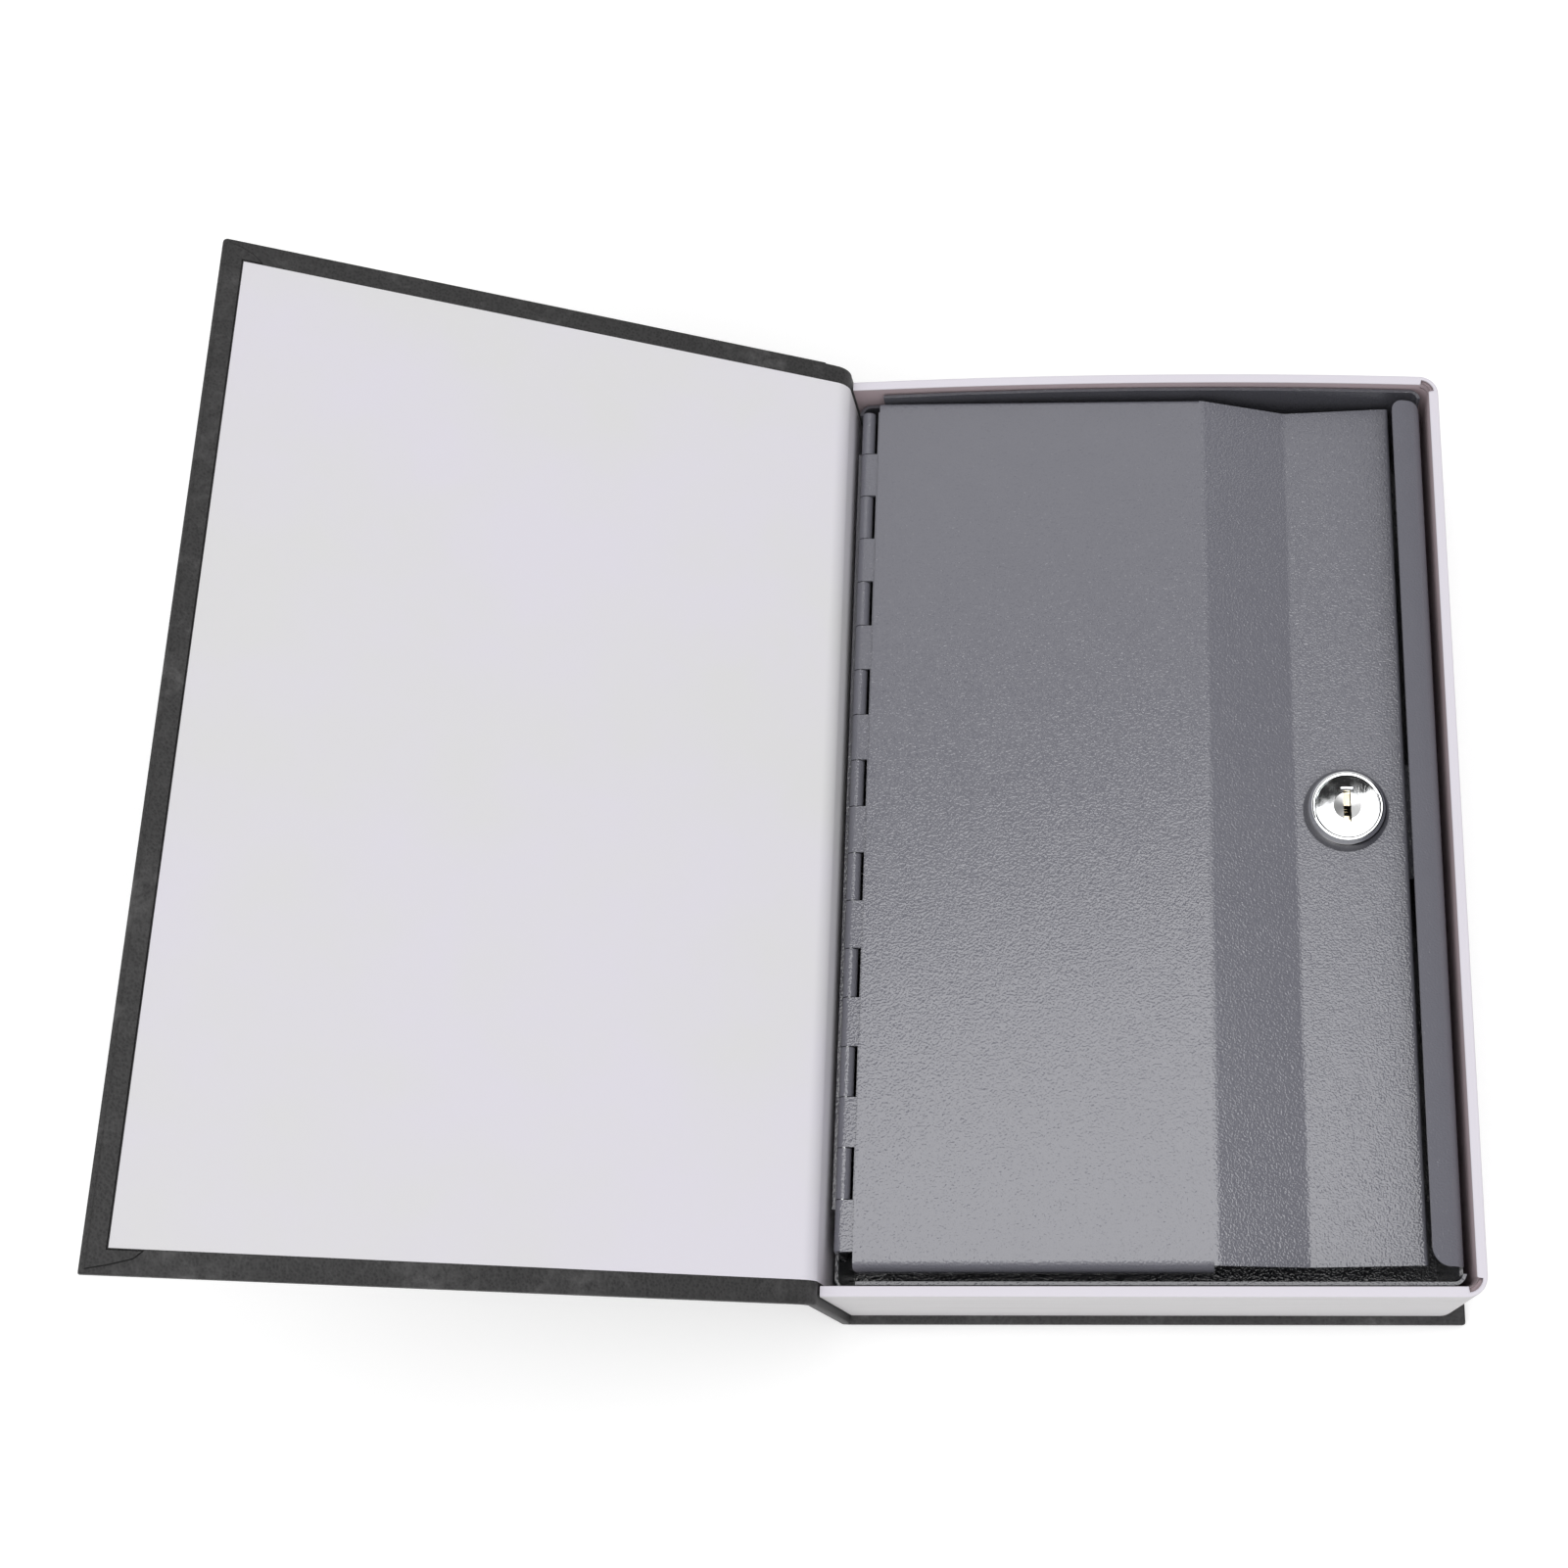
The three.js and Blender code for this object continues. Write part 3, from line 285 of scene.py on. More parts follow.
def makePaperFibre():
    # crossing fibres over a slight cockle, and soft clouds of tone
    group, entry, leave = newGroup(
        "paperFibre",
        [("Place", "NodeSocketVector", None)],
        [("Height", "NodeSocketFloat"), ("Cloud", "NodeSocketFloat")],
    )
    place = entry.outputs["Place"]
    fibres = noise(group, place, *sheetGrain["fibres"])
    cockle = noise(group, place, *sheetGrain["cockle"])
    height = mathNode(group, "MULTIPLY_ADD", cockle, sheetGrain["cockleShare"], fibres)
    group.links.new(height, leave.inputs["Height"])
    clouds = noise(group, place, *sheetGrain["clouds"])
    group.links.new(spread(group, clouds, *sheetGrain["cloudRange"]), leave.inputs["Cloud"])
    return group


metalWear = {
    "blotches": (260, 5.0, 0.62),
    "blotchRange": (0.45, 0.75),
    "scratches": (5200, 2.0, 0.6),
    "scratchRange": (0.6, 0.75),
    "stretch": (1.0, 0.06, 1.0),  # draws the scratches out along Y
    "slant": 24,  # in degrees
}


def makeHandling():
    # faint rubbing and dust: a mask that roughens and dulls bare metal
    group, entry, leave = newGroup(
        "handling",
        [("Place", "NodeSocketVector", None), ("Scale", "NodeSocketFloat", 1.0)],
        [("Mask", "NodeSocketFloat"), ("Scratch", "NodeSocketFloat")],
    )
    scaled = group.nodes.new("ShaderNodeVectorMath")
    scaled.operation = "SCALE"
    group.links.new(entry.outputs["Place"], scaled.inputs[0])
    group.links.new(entry.outputs["Scale"], scaled.inputs["Scale"])
    place = scaled.outputs[0]
    blotches = noise(group, place, *metalWear["blotches"])
    stretched = group.nodes.new("ShaderNodeMapping")
    stretched.inputs["Scale"].default_value = metalWear["stretch"]
    stretched.inputs["Rotation"].default_value = (0.0, 0.0, radians(metalWear["slant"]))
    group.links.new(place, stretched.inputs["Vector"])
    lines = noise(group, stretched.outputs["Vector"], *metalWear["scratches"])
    group.links.new(spread(group, blotches, *metalWear["blotchRange"]), leave.inputs["Mask"])
    group.links.new(spread(group, lines, *metalWear["scratchRange"]), leave.inputs["Scratch"])
    return group


orangePeel = makeOrangePeel()
leatherGrain = makeLeatherGrain()
paperFibre = makePaperFibre()
handling = makeHandling()
print("shared effects ready")


# ---- finishes

powderPaint = {
    "colour": (0.167, 0.167, 0.194, 1),
    "worn": (0.171, 0.171, 0.198, 1),
    "roughness": (0.05, 0.07),
    "specular": 0.68,
    "bump": 0.10 * mm,
}


def makePowderPaint(name, shade):
    # shade below 1 darkens the paint for the inside of the box, as painted shade
    material, tree, shader = newMaterial(name)
    place = objectPlace(tree)
    peel = useGroup(tree, orangePeel, Place=place)
    touch = useGroup(tree, handling, Place=place, Scale=0.12)
    fresh = dimmed(powderPaint["colour"], shade)
    colour = mixColour(tree, peel.outputs["Mottle"], fresh, dimmed(powderPaint["worn"], shade))
    roughness = spread(tree, touch.outputs["Mask"], 0, 1, *powderPaint["roughness"])
    normal = bumpFrom(tree, peel.outputs["Height"], powderPaint["bump"])
    fillShader(tree, shader, colour, roughness, normal, powderPaint["specular"])
    return material


leatherette = {
    "colour": (0.042, 0.0412, 0.0415, 1),
    "smudge": (0.105, 0.103, 0.104, 1),
    "pore": (0.026, 0.0255, 0.026, 1),
    "roughness": (0.52, 0.70),
    "specular": 0.2,
    "bump": 0.10 * mm,
}


def makeLeatherette(name, shade):
    # shade below 1 is for creases that the light hardly reaches
    material, tree, shader = newMaterial(name)
    place = objectPlace(tree)
    grain = useGroup(tree, leatherGrain, Place=place)
    pore = dimmed(leatherette["pore"], shade)
    base = mixColour(tree, grain.outputs["Pore"], pore, dimmed(leatherette["colour"], shade))
    colour = mixColour(tree, grain.outputs["Smudge"], base, dimmed(leatherette["smudge"], shade))
    roughness = spread(tree, grain.outputs["Smudge"], 0, 1, *leatherette["roughness"])
    normal = bumpFrom(tree, grain.outputs["Height"], leatherette["bump"])
    fillShader(tree, shader, colour, roughness, normal, leatherette["specular"])
    return material


whitePaper = {
    "colour": (0.750, 0.728, 0.792, 1),
    "shade": (0.742, 0.736, 0.748, 1),
    "roughness": (0.70, 0.80),
    "specular": 0.12,
    "bump": 0.010 * mm,
}


def makeWhitePaper():
    material, tree, shader = newMaterial("whitePaper")
    place = objectPlace(tree)
    fibre = useGroup(tree, paperFibre, Place=place)
    colour = mixColour(tree, fibre.outputs["Cloud"], whitePaper["shade"], whitePaper["colour"])
    roughness = spread(tree, fibre.outputs["Cloud"], 0, 1, *whitePaper["roughness"])
    normal = bumpFrom(tree, fibre.outputs["Height"], whitePaper["bump"])
    fillShader(tree, shader, colour, roughness, normal, whitePaper["specular"])
    return material


pageCard = {
    "colour": (0.735, 0.705, 0.770, 1),
    "side": (0.715, 0.705, 0.715, 1),  # on the upright walls
    "line": (0.520, 0.500, 0.510, 1),
    "lineShare": 0.42,  # how strongly the lines darken the walls
    "lineNoise": (3.0, 0.65),
    "lineRange": (0.45, 0.62),
    "flatRange": (0.25, 0.75),  # between an upright wall and a flat rim, as the size of the normal's Z
    "pagePitch": 0.588 * mm,
    "wobble": 0.5 * mm,
    "wobbleScale": 12,
    "along": 0.01,  # how fast the lines change along the wall, beside upwards
    "roughness": 0.62,
    "specular": 0.12,
    "lineBump": 0.03 * mm,
    "fibreBump": 0.010 * mm,
}


def makePageCard():
    # fine uneven lines round the outer walls, one above the other, like the edges of pages
    material, tree, shader = newMaterial("pageCard")
    place = objectPlace(tree)
    fibre = useGroup(tree, paperFibre, Place=place)
    swing = mathNode(tree, "SUBTRACT", noise(tree, place, pageCard["wobbleScale"]), 0.5)
    wobble = mathNode(tree, "MULTIPLY", swing, pageCard["wobble"])
    parts = tree.nodes.new("ShaderNodeSeparateXYZ")
    tree.links.new(place, parts.inputs[0])
    level = mathNode(tree, "ADD", parts.outputs["Z"], wobble)
    stacked = tree.nodes.new("ShaderNodeCombineXYZ")
    tree.links.new(level, stacked.inputs["Z"])
    for axis in ("X", "Y"):
        run = mathNode(tree, "MULTIPLY", parts.outputs[axis], pageCard["along"])
        tree.links.new(run, stacked.inputs[axis])
    lines = noise(tree, stacked.outputs[0], 1.0 / pageCard["pagePitch"], *pageCard["lineNoise"])
    normals = tree.nodes.new("ShaderNodeNewGeometry")
    facing = tree.nodes.new("ShaderNodeSeparateXYZ")
    tree.links.new(normals.outputs["Normal"], facing.inputs[0])
    flat = mathNode(tree, "ABSOLUTE", facing.outputs["Z"])
    upright = spread(tree, flat, *pageCard["flatRange"], 1, 0)
    share = mathNode(tree, "MULTIPLY", upright, pageCard["lineShare"])
    masked = mathNode(tree, "MULTIPLY", spread(tree, lines, *pageCard["lineRange"]), share)
    base = mixColour(tree, upright, pageCard["colour"], pageCard["side"])
    colour = mixColour(tree, masked, base, pageCard["line"])
    linesHeight = mathNode(tree, "MULTIPLY", lines, upright)
    under = bumpFrom(tree, fibre.outputs["Height"], pageCard["fibreBump"])
    normal = bumpFrom(tree, linesHeight, pageCard["lineBump"], under)
    fillShader(tree, shader, colour, pageCard["roughness"], normal, pageCard["specular"])
    return material


# the unprinted inner side of the card, pinkish grey
rawSide = {
    "tones": ((0.50, 0.405, 0.425, 1), (0.58, 0.475, 0.505, 1)),
    "roughness": 0.85,
    "specular": 0.1,
    "bump": 0.02 * mm,
}

# the film of glue under the steel box
glue = {
    "tones": ((0.62, 0.57, 0.42, 1), (0.52, 0.47, 0.34, 1)),
    "roughness": 0.55,
    "specular": 0.5,
    "bump": 0.02 * mm,
}


def makeCloudy(name, look):
    # two tones in soft clouds over a fibrous surface
    material, tree, shader = newMaterial(name)
    fibre = useGroup(tree, paperFibre, Place=objectPlace(tree))
    colour = mixColour(tree, fibre.outputs["Cloud"], *look["tones"])
    normal = bumpFrom(tree, fibre.outputs["Height"], look["bump"])
    fillShader(tree, shader, colour, look["roughness"], normal, look["specular"])
    return material


greyboard = {
    "colour": (0.24, 0.21, 0.175, 1),
    "fleck": (0.13, 0.12, 0.105, 1),
    "flecks": (1300, 5.0, 0.7),
    "fleckRange": (0.52, 0.7),
    "roughness": 0.9,
    "bump": 0.05 * mm,
}


def makeGreyboard():
    material, tree, shader = newMaterial("greyboard")
    place = objectPlace(tree)
    fibre = useGroup(tree, paperFibre, Place=place)
    flecks = spread(tree, noise(tree, place, *greyboard["flecks"]), *greyboard["fleckRange"])
    colour = mixColour(tree, flecks, greyboard["colour"], greyboard["fleck"])
    normal = bumpFrom(tree, fibre.outputs["Height"], greyboard["bump"])
    fillShader(tree, shader, colour, greyboard["roughness"], normal)
    return material


metals = {
    "brightChrome": {
        "colour": (0.86, 0.87, 0.88, 1), "dull": (0.80, 0.81, 0.82, 1),
        "roughness": (0.02, 0.06), "grain": 0.0005 * mm,
    },
    # a dimmed copy of the chrome: painted dark reflection for the lock's skirt
    "paintedDarkReflectionChrome": {
        "colour": (0.36, 0.36, 0.37, 1), "dull": (0.31, 0.31, 0.32, 1),
        "roughness": (0.05, 0.12), "grain": 0.001 * mm,
    },
    "turnedChrome": {
        "colour": (0.62, 0.62, 0.62, 1), "dull": (0.50, 0.50, 0.50, 1),
        "roughness": (0.30, 0.42), "grain": 0.004 * mm,
    },
    "zincPlate": {
        "colour": (0.62, 0.63, 0.64, 1), "dull": (0.50, 0.50, 0.50, 1),
        "roughness": (0.24, 0.42), "grain": 0.006 * mm,
    },
    "stampedBrass": {
        "colour": (0.76, 0.68, 0.52, 1), "dull": (0.60, 0.52, 0.38, 1),
        "roughness": (0.14, 0.26), "grain": 0.006 * mm,
    },
    # near-black: painted shade for the deep walls of the keyway
    "paintedShadeBore": {
        "colour": (0.050, 0.047, 0.042, 1), "dull": (0.020, 0.019, 0.017, 1),
        "roughness": (0.55, 0.75), "grain": 0.004 * mm,
    },
}


def makeMetal(name):
    metal = metals[name]
    material, tree, shader = newMaterial(name)
    touch = useGroup(tree, handling, Place=objectPlace(tree), Scale=1.0)
    wear = mathNode(tree, "MAXIMUM", touch.outputs["Mask"], touch.outputs["Scratch"])
    colour = mixColour(tree, touch.outputs["Mask"], metal["colour"], metal["dull"])
    roughness = spread(tree, wear, 0, 1, *metal["roughness"])
    fillShader(tree, shader, colour, roughness, bumpFrom(tree, touch.outputs["Scratch"], metal["grain"]))
    shader.inputs["Metallic"].default_value = 1.0
    return material


paint = makePowderPaint("powderPaint", 1.0)
# a darker copy of the same paint: painted shade for the inside of the box
paintedShadeInside = makePowderPaint("paintedShadeInside", 0.55)
leather = makeLeatherette("leatherette", 1.0)
# a darker copy of the cloth: painted shadow for the seam creases
creaseShadowCloth = makeLeatherette("creaseShadowCloth", 0.3)
paper = makeWhitePaper()
card = makePageCard()
rawCard = makeCloudy("rawCard", rawSide)
film = makeCloudy("adhesiveFilm", glue)
board = makeGreyboard()
chrome = makeMetal("brightChrome")
paintedDarkReflectionChrome = makeMetal("paintedDarkReflectionChrome")
turnedChrome = makeMetal("turnedChrome")
zinc = makeMetal("zincPlate")
brass = makeMetal("stampedBrass")
paintedShadeBore = makeMetal("paintedShadeBore")
print("finishes ready")


# ---- helpers for meshes and pieces

def addPiece(name, bm, material, body, replaced, angle=30):
    mesh = bpy.data.meshes.new(name)
    bm.to_mesh(mesh)
    bm.free()
    for attribute in [a.name for a in mesh.attributes if a.name == "custom_normal"]:
        mesh.attributes.remove(mesh.attributes[attribute])
    mesh.materials.append(material)
    mesh.shade_smooth()
    mesh.set_sharp_from_angle(angle=radians(angle))
    piece = bpy.data.objects.new(name, mesh)
    scene.collection.objects.link(piece)
    if body:
        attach(piece, body)
    if replaced:
        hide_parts(*replaced)
    return piece


def roundEdges(piece, width, segments, angle):
    bevel = piece.modifiers.new("roundEdges", "BEVEL")
    bevel.width = width
    bevel.segments = segments
    bevel.limit_method = "ANGLE"
    bevel.angle_limit = radians(angle)
    bevel.harden_normals = True
    bevel.miter_outer = "MITER_ARC"


def thicken(piece, thickness, offset):
    wall = piece.modifiers.new("thickness", "SOLIDIFY")
    wall.thickness = thickness
    wall.offset = offset
    wall.use_even_offset = True


# keeps narrow edge faces from tilting the shading of the wide flat ones beside them
def evenShading(piece):
    weighted = piece.modifiers.new("evenShading", "WEIGHTED_NORMAL")
    weighted.mode = "FACE_AREA"
    weighted.weight = 50
    weighted.keep_sharp = True


# rounds edges in the mesh itself
def bevelEdges(bm, edges, width, segments):
    bmesh.ops.bevel(
        bm, geom=edges, offset=width, segments=segments,
        affect="EDGES", profile=0.5, material=-1,
    )


def isUpright(edge):
    return abs(edge.verts[0].co.z - edge.verts[1].co.z) > 0.1 * mm


def newVertices(made):
    return [v for v in made["geom"] if isinstance(v, bmesh.types.BMVert)]


# the point at t on a curve from first to last that is drawn towards pull
def curvePoint(first, pull, last, t):
    return tuple(
        (1 - t) ** 2 * a + 2 * t * (1 - t) * b + t * t * c
        for a, b, c in zip(first, pull, last)
    )


# a straight solid along Y from an outline in X and Z
def addExtruded(bm, outline, half):
    ring = [bm.verts.new((x, -half, z)) for x, z in outline]
    face = bm.faces.new(ring)
    made = bmesh.ops.extrude_face_region(bm, geom=[face])
    bmesh.ops.translate(bm, vec=(0, 2 * half, 0), verts=newVertices(made))
    bmesh.ops.recalc_face_normals(bm, faces=bm.faces)


# a sheet that follows a folded line in X and Z, with each fold rounded, parted once along its middle
def foldedSheet(points, radii, low, high, fold=8):
    bm = bmesh.new()
    chain = [bm.verts.new((x, low, z)) for x, z in points]
    edges = [bm.edges.new(pair) for pair in zip(chain, chain[1:])]
    made = bmesh.ops.extrude_edge_only(bm, edges=edges)
    bmesh.ops.translate(bm, vec=(0, high - low, 0), verts=newVertices(made))
    for i, radius in enumerate(radii, 1):
        place = Vector(points[i])
        creases = [
            e for e in bm.edges
            if all((Vector((v.co.x, v.co.z)) - place).length < tiny for v in e.verts)
        ]
        before = (place - Vector(points[i - 1])).normalized()
        after = (Vector(points[i + 1]) - place).normalized()
        bevelEdges(bm, creases, radius * tan(before.angle(after) / 2), fold)
    along = [e for e in bm.edges if abs(e.verts[0].co.y - e.verts[1].co.y) > (high - low) / 2]
    bmesh.ops.subdivide_edges(bm, edges=along, cuts=1, use_grid_fill=True)
    return bm


# a copy of a solid from the frame with its triangles merged back into faces and its edges rounded
def dressedCopy(node, name, material, edge, segments, angle=30):
    bm = bmesh.new()
    bm.from_mesh(nodes[node].data)
    bmesh.ops.remove_doubles(bm, verts=bm.verts, dist=tiny)
    bmesh.ops.dissolve_limit(bm, angle_limit=radians(0.6), verts=bm.verts, edges=bm.edges)
    piece = addPiece(name, bm, material, nodes[node]["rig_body"], [node], angle)
    roundEdges(piece, edge, segments, angle)
    return piece


# a copy that keeps every facet, smoothed only across shallow edges, for turned and polished parts
def smoothCopy(node, name, material, angle=14):
    bm = bmesh.new()
    bm.from_mesh(nodes[node].data)
    bmesh.ops.remove_doubles(bm, verts=bm.verts, dist=tiny)
    return addPiece(name, bm, material, nodes[node]["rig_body"], [node], angle)


def dressNode(node, material):
    mesh = nodes[node].data
    mesh.materials.clear()
    mesh.materials.append(material)


# ---- front cover

# it is shaped as on the closed book, its joint at the origin, and then turned open
joint = next(j for j in frame["joints"] if j["name"] == "front_cover_hinge")
pivot = Vector(joint["pos_m"])
openAngle = radians(154.6)
opened = Matrix.Translation(pivot) @ Matrix.Rotation(-openAngle, 4, "Y")

frontCover = {
    "start": 7.0 * mm,  # from the pivot to the edge of the board
    "end": 156.0 * mm,
    "under": -2.16 * mm,
    "thickness": 2.8 * mm,
    "halfLength": 120.0 * mm,
    "edgeRound": 0.45 * mm,
    "cornerRound": (0.5 * mm, 1.1 * mm),  # at the tail and at the head
}


def makeFrontCover():
    size = frontCover
    bm = bmesh.new()
    bmesh.ops.create_cube(bm, size=1.0)
    length = size["end"] - size["start"]
    bmesh.ops.scale(bm, vec=(length, 2 * size["halfLength"], size["thickness"]), verts=bm.verts)
    middle = Vector(((size["start"] + size["end"]) / 2, 0, size["under"] + size["thickness"] / 2))
    bmesh.ops.translate(bm, vec=middle, verts=bm.verts)
    free = size["end"] - near
    corners = [e for e in bm.edges if isUpright(e) and e.verts[0].co.x > free]
    for radius, side in zip(size["cornerRound"], (-1, 1)):
        corner = [e for e in corners if e.is_valid and e.verts[0].co.y * side > 0]
        bevelEdges(bm, corner, radius, 5)
    spineSide = size["start"] + near
    rims = [e for e in bm.edges if not isUpright(e) and not all(v.co.x < spineSide for v in e.verts)]
    bevelEdges(bm, rims, size["edgeRound"], 4)
    bmesh.ops.transform(bm, matrix=opened, verts=bm.verts)
    piece = addPiece("cover_front_cloth", bm, leather, "front_cover", ["front_cover_wrap"])
    evenShading(piece)


# where a point of the closed cover's section comes to lie
def openPoint(along, up):
    point = opened @ Vector((along, 0, up))
    return (point.x, point.z)


endpaper = {
    "foreMargin": 5.1 * mm,
    "endMargin": 5.4 * mm,
    "lift": 0.02 * mm,  # off the board; more and the open lid's back edge touches the paper
    "thickness": 0.12 * mm,
    "bendRadius": 5.0 * mm,
    "depth": 30.0 * mm,  # how far down the spine it reaches
}

spine = {
    "footX": -76.4 * mm,
    "footZ": 2.8 * mm,
    "topZ": 52.5 * mm,
    "lean": radians(1.8),
    "thickness": 2.2 * mm,
}


# the inner side of the spine, which leans out as it rises
def spineInner(z, off=0.0):
    return spine["footX"] - (z - spine["footZ"]) * tan(spine["lean"]) + off


def makeEndpaper():
    size = endpaper
    off = size["lift"] + size["thickness"] / 2
    up = frontCover["under"] - off
    foreEnd = openPoint(frontCover["end"] - size["foreMargin"], up)
    boardEnd = openPoint(frontCover["start"], up)
    slope = (boardEnd[1] - foreEnd[1]) / (boardEnd[0] - foreEnd[0])
    lean = -tan(spine["lean"])
    base = spineInner(0.0, off)
    cornerZ = (boardEnd[1] + slope * (base - boardEnd[0])) / (1 - slope * lean)
    corner = (base + lean * cornerZ, cornerZ)
    low = spine["topZ"] - size["depth"]
    end = frontCover["halfLength"] - size["endMargin"]
    bm = foldedSheet(
        [foreEnd, boardEnd, corner, (spineInner(low, off), low)],
        [0.0, size["bendRadius"]], -end, end, fold=10,
    )
    bmesh.ops.recalc_face_normals(bm, faces=bm.faces)
    top = max(bm.faces, key=lambda f: f.calc_area())
    if top.normal.z < 0:
        bmesh.ops.reverse_faces(bm, faces=bm.faces)
    piece = addPiece(
        "endpaper_sheet", bm, paper, None, ["front_endpaper", "front_joint_lining"], 60,
    )
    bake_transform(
        piece, "case", "front_cover",
        start=(corner[0], 0, corner[1] - 3.1 * mm), end=(corner[0] - 2.0 * mm, 0, corner[1] + 0.6 * mm),
    )
    thicken(piece, size["thickness"], 0.0)
    evenShading(piece)


jointCloth = {
    "thickness": 2.3 * mm,
    "bendRadius": 4.2 * mm,
    "endRound": 0.6 * mm,
    "spineLap": 0.6 * mm,
    "coverLap": 0.5 * mm,
}


def makeJointCloth():
    size = jointCloth
    start = (spineInner(spine["topZ"]) - spine["thickness"] / 2, spine["topZ"] - size["spineLap"])
    middle = frontCover["under"] + frontCover["thickness"] / 2
    end = openPoint(frontCover["start"] + size["coverLap"], middle)
    bend = (start[0], openPoint(0.0, middle)[1])
    half = frontCover["halfLength"]
    bm = foldedSheet([start, bend, end], [size["bendRadius"]], -half, half)
    bmesh.ops.recalc_face_normals(bm, faces=bm.faces)
    piece = addPiece("joint_cloth", bm, leather, None, ["front_joint_cloth"], 60)
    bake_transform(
        piece, "case", "front_cover",
        start=(start[0], 0, start[1] + 1.0 * mm), end=(end[0] + 1.5 * mm, 0, end[1]),
    )
    thicken(piece, size["thickness"], 0.0)
    roundEdges(piece, size["endRound"], 4, 60)
    evenShading(piece)


# the turned-in cloth along the fore edge laps over the head and tail ones at the corners
turnIn = {
    "root": 0.05 * mm,  # how deep it starts in the cover
    "rise": 0.08 * mm,
    "step": 0.30 * mm,
    "seam": 0.26 * mm,  # the crease along its cut edges, painted dark as shadow
    "seamEnd": 154.7 * mm,  # past this the edge is the cover's own
    "tailSeam": ((155.0, -119.1), (150.5, -118.1), (145.9, -116.7), (144.3, -115.2)),
    "underPaper": ((144.0, -114.8), (151.1, -114.8), (151.1, 114.8), (146.4, 114.8)),
    "headSeam": ((146.6, 115.0), (147.2, 115.7), (149.2, 117.2), (151.5, 118.25), (155.0, 119.1)),
}


def makeTurnIn():
    size = turnIn
    outline = [*size["tailSeam"], *size["underPaper"], *size["headSeam"]]
    bm = bmesh.new()
    root = frontCover["under"] + size["root"]
    ring = [bm.verts.new((x * mm, y * mm, root)) for x, y in outline]
    face = bm.faces.new(ring)
    made = bmesh.ops.extrude_face_region(bm, geom=[face])
    bmesh.ops.translate(bm, vec=(0, 0, -size["rise"]), verts=newVertices(made))
    cap = next(f for f in made["geom"] if isinstance(f, bmesh.types.BMFace))
    creases = bmesh.ops.inset_region(
        bm, faces=[cap], thickness=size["seam"], use_even_offset=True,
    )["faces"]
    bmesh.ops.translate(bm, vec=(0, 0, -size["step"]), verts=cap.verts[:])
    # the crease faces short of the cover's own edge take the painted shadow
    for crease in creases:
        if crease.calc_center_median().x < size["seamEnd"]:
            crease.material_index = 1
    bmesh.ops.recalc_face_normals(bm, faces=bm.faces)
    bmesh.ops.transform(bm, matrix=opened, verts=bm.verts)
    piece = addPiece("cover_turn_in", bm, leather, "front_cover", [])
    piece.data.materials.append(creaseShadowCloth)
    evenShading(piece)


makeFrontCover()
makeTurnIn()
makeEndpaper()
makeJointCloth()
print("front cover ready")


# ---- back cover and spine

backCover = {
    "foreX": 77.5 * mm,
    "thickness": 2.8 * mm,
    "halfLength": 120.0 * mm,
    "cornerRound": 0.6 * mm,
    "edgeRound": 0.5 * mm,
    "footRound": 2.0 * mm,
    "spineMargin": 0.5 * mm,  # edges this near the spine stay sharp, since it hides them
}


def makeBackCover():
    size = backCover
    bm = bmesh.new()
    outline = [
        (spineInner(0.0), 0.0), (size["foreX"], 0.0),
        (size["foreX"], size["thickness"]), (spineInner(size["thickness"]), size["thickness"]),
    ]
    addExtruded(bm, outline, size["halfLength"])
    corners = [e for e in bm.edges if isUpright(e) and e.verts[0].co.x > 0]
    bevelEdges(bm, corners, size["cornerRound"], 5)
    spineSide = spineInner(0.0) + size["spineMargin"]
    rims = [e for e in bm.edges if not isUpright(e) and not all(v.co.x < spineSide for v in e.verts)]
    bevelEdges(bm, rims, size["edgeRound"], 4)
    evenShading(addPiece("cover_back_cloth", bm, leather, "case", ["case_wrap"]))


def makeSpine():
    bm = bmesh.new()
    wall = spine["thickness"]
    top = spine["topZ"]
    outline = [
        (spineInner(0.0), 0.0), (spineInner(top), top),
        (spineInner(top) - wall, top), (spineInner(0.0) - wall, 0.0),
    ]
    addExtruded(bm, outline, backCover["halfLength"])
    outer = spineInner(0.0) - wall + near
    foot = [e for e in bm.edges if all(v.co.z < near and v.co.x < outer for v in e.verts)]
    bevelEdges(bm, foot, backCover["footRound"], 6)
    ends = [e for e in bm.edges if abs(e.verts[0].co.y - e.verts[1].co.y) < tiny]
    bevelEdges(bm, ends, backCover["edgeRound"], 4)
    evenShading(addPiece("spine_cloth", bm, leather, "case", []))


makeBackCover()
makeSpine()
print("back cover and spine ready")


# ---- page tray

pageTray = {
    "spineX": -75.9 * mm,
    "foreX": 76.1 * mm,
    "halfLength": 117.9 * mm,
    "bow": 1.5 * mm,  # how far the head wall bulges in the middle
    "bowReach": 4.0 * mm,  # how far past the spine the bulge's curve would end
    "bowShare": 0.975,  # how much of that curve is stepped through
    "spineEnd": 0.15 * mm,  # what is left of the bulge at the spine
    "bottom": 2.8 * mm,
    "top": 52.2 * mm,
    "rim": 2.5 * mm,
    "cornerRadius": 5.0 * mm,
    "outerFold": 0.55 * mm,
    "innerFold": 0.3 * mm,
    "card": 0.6 * mm,
    "notchFrom": 1.05 * mm,  # the rim is cut away at the two fore corners, past this much of it
    "tabDrop": 1.3 * mm,
}


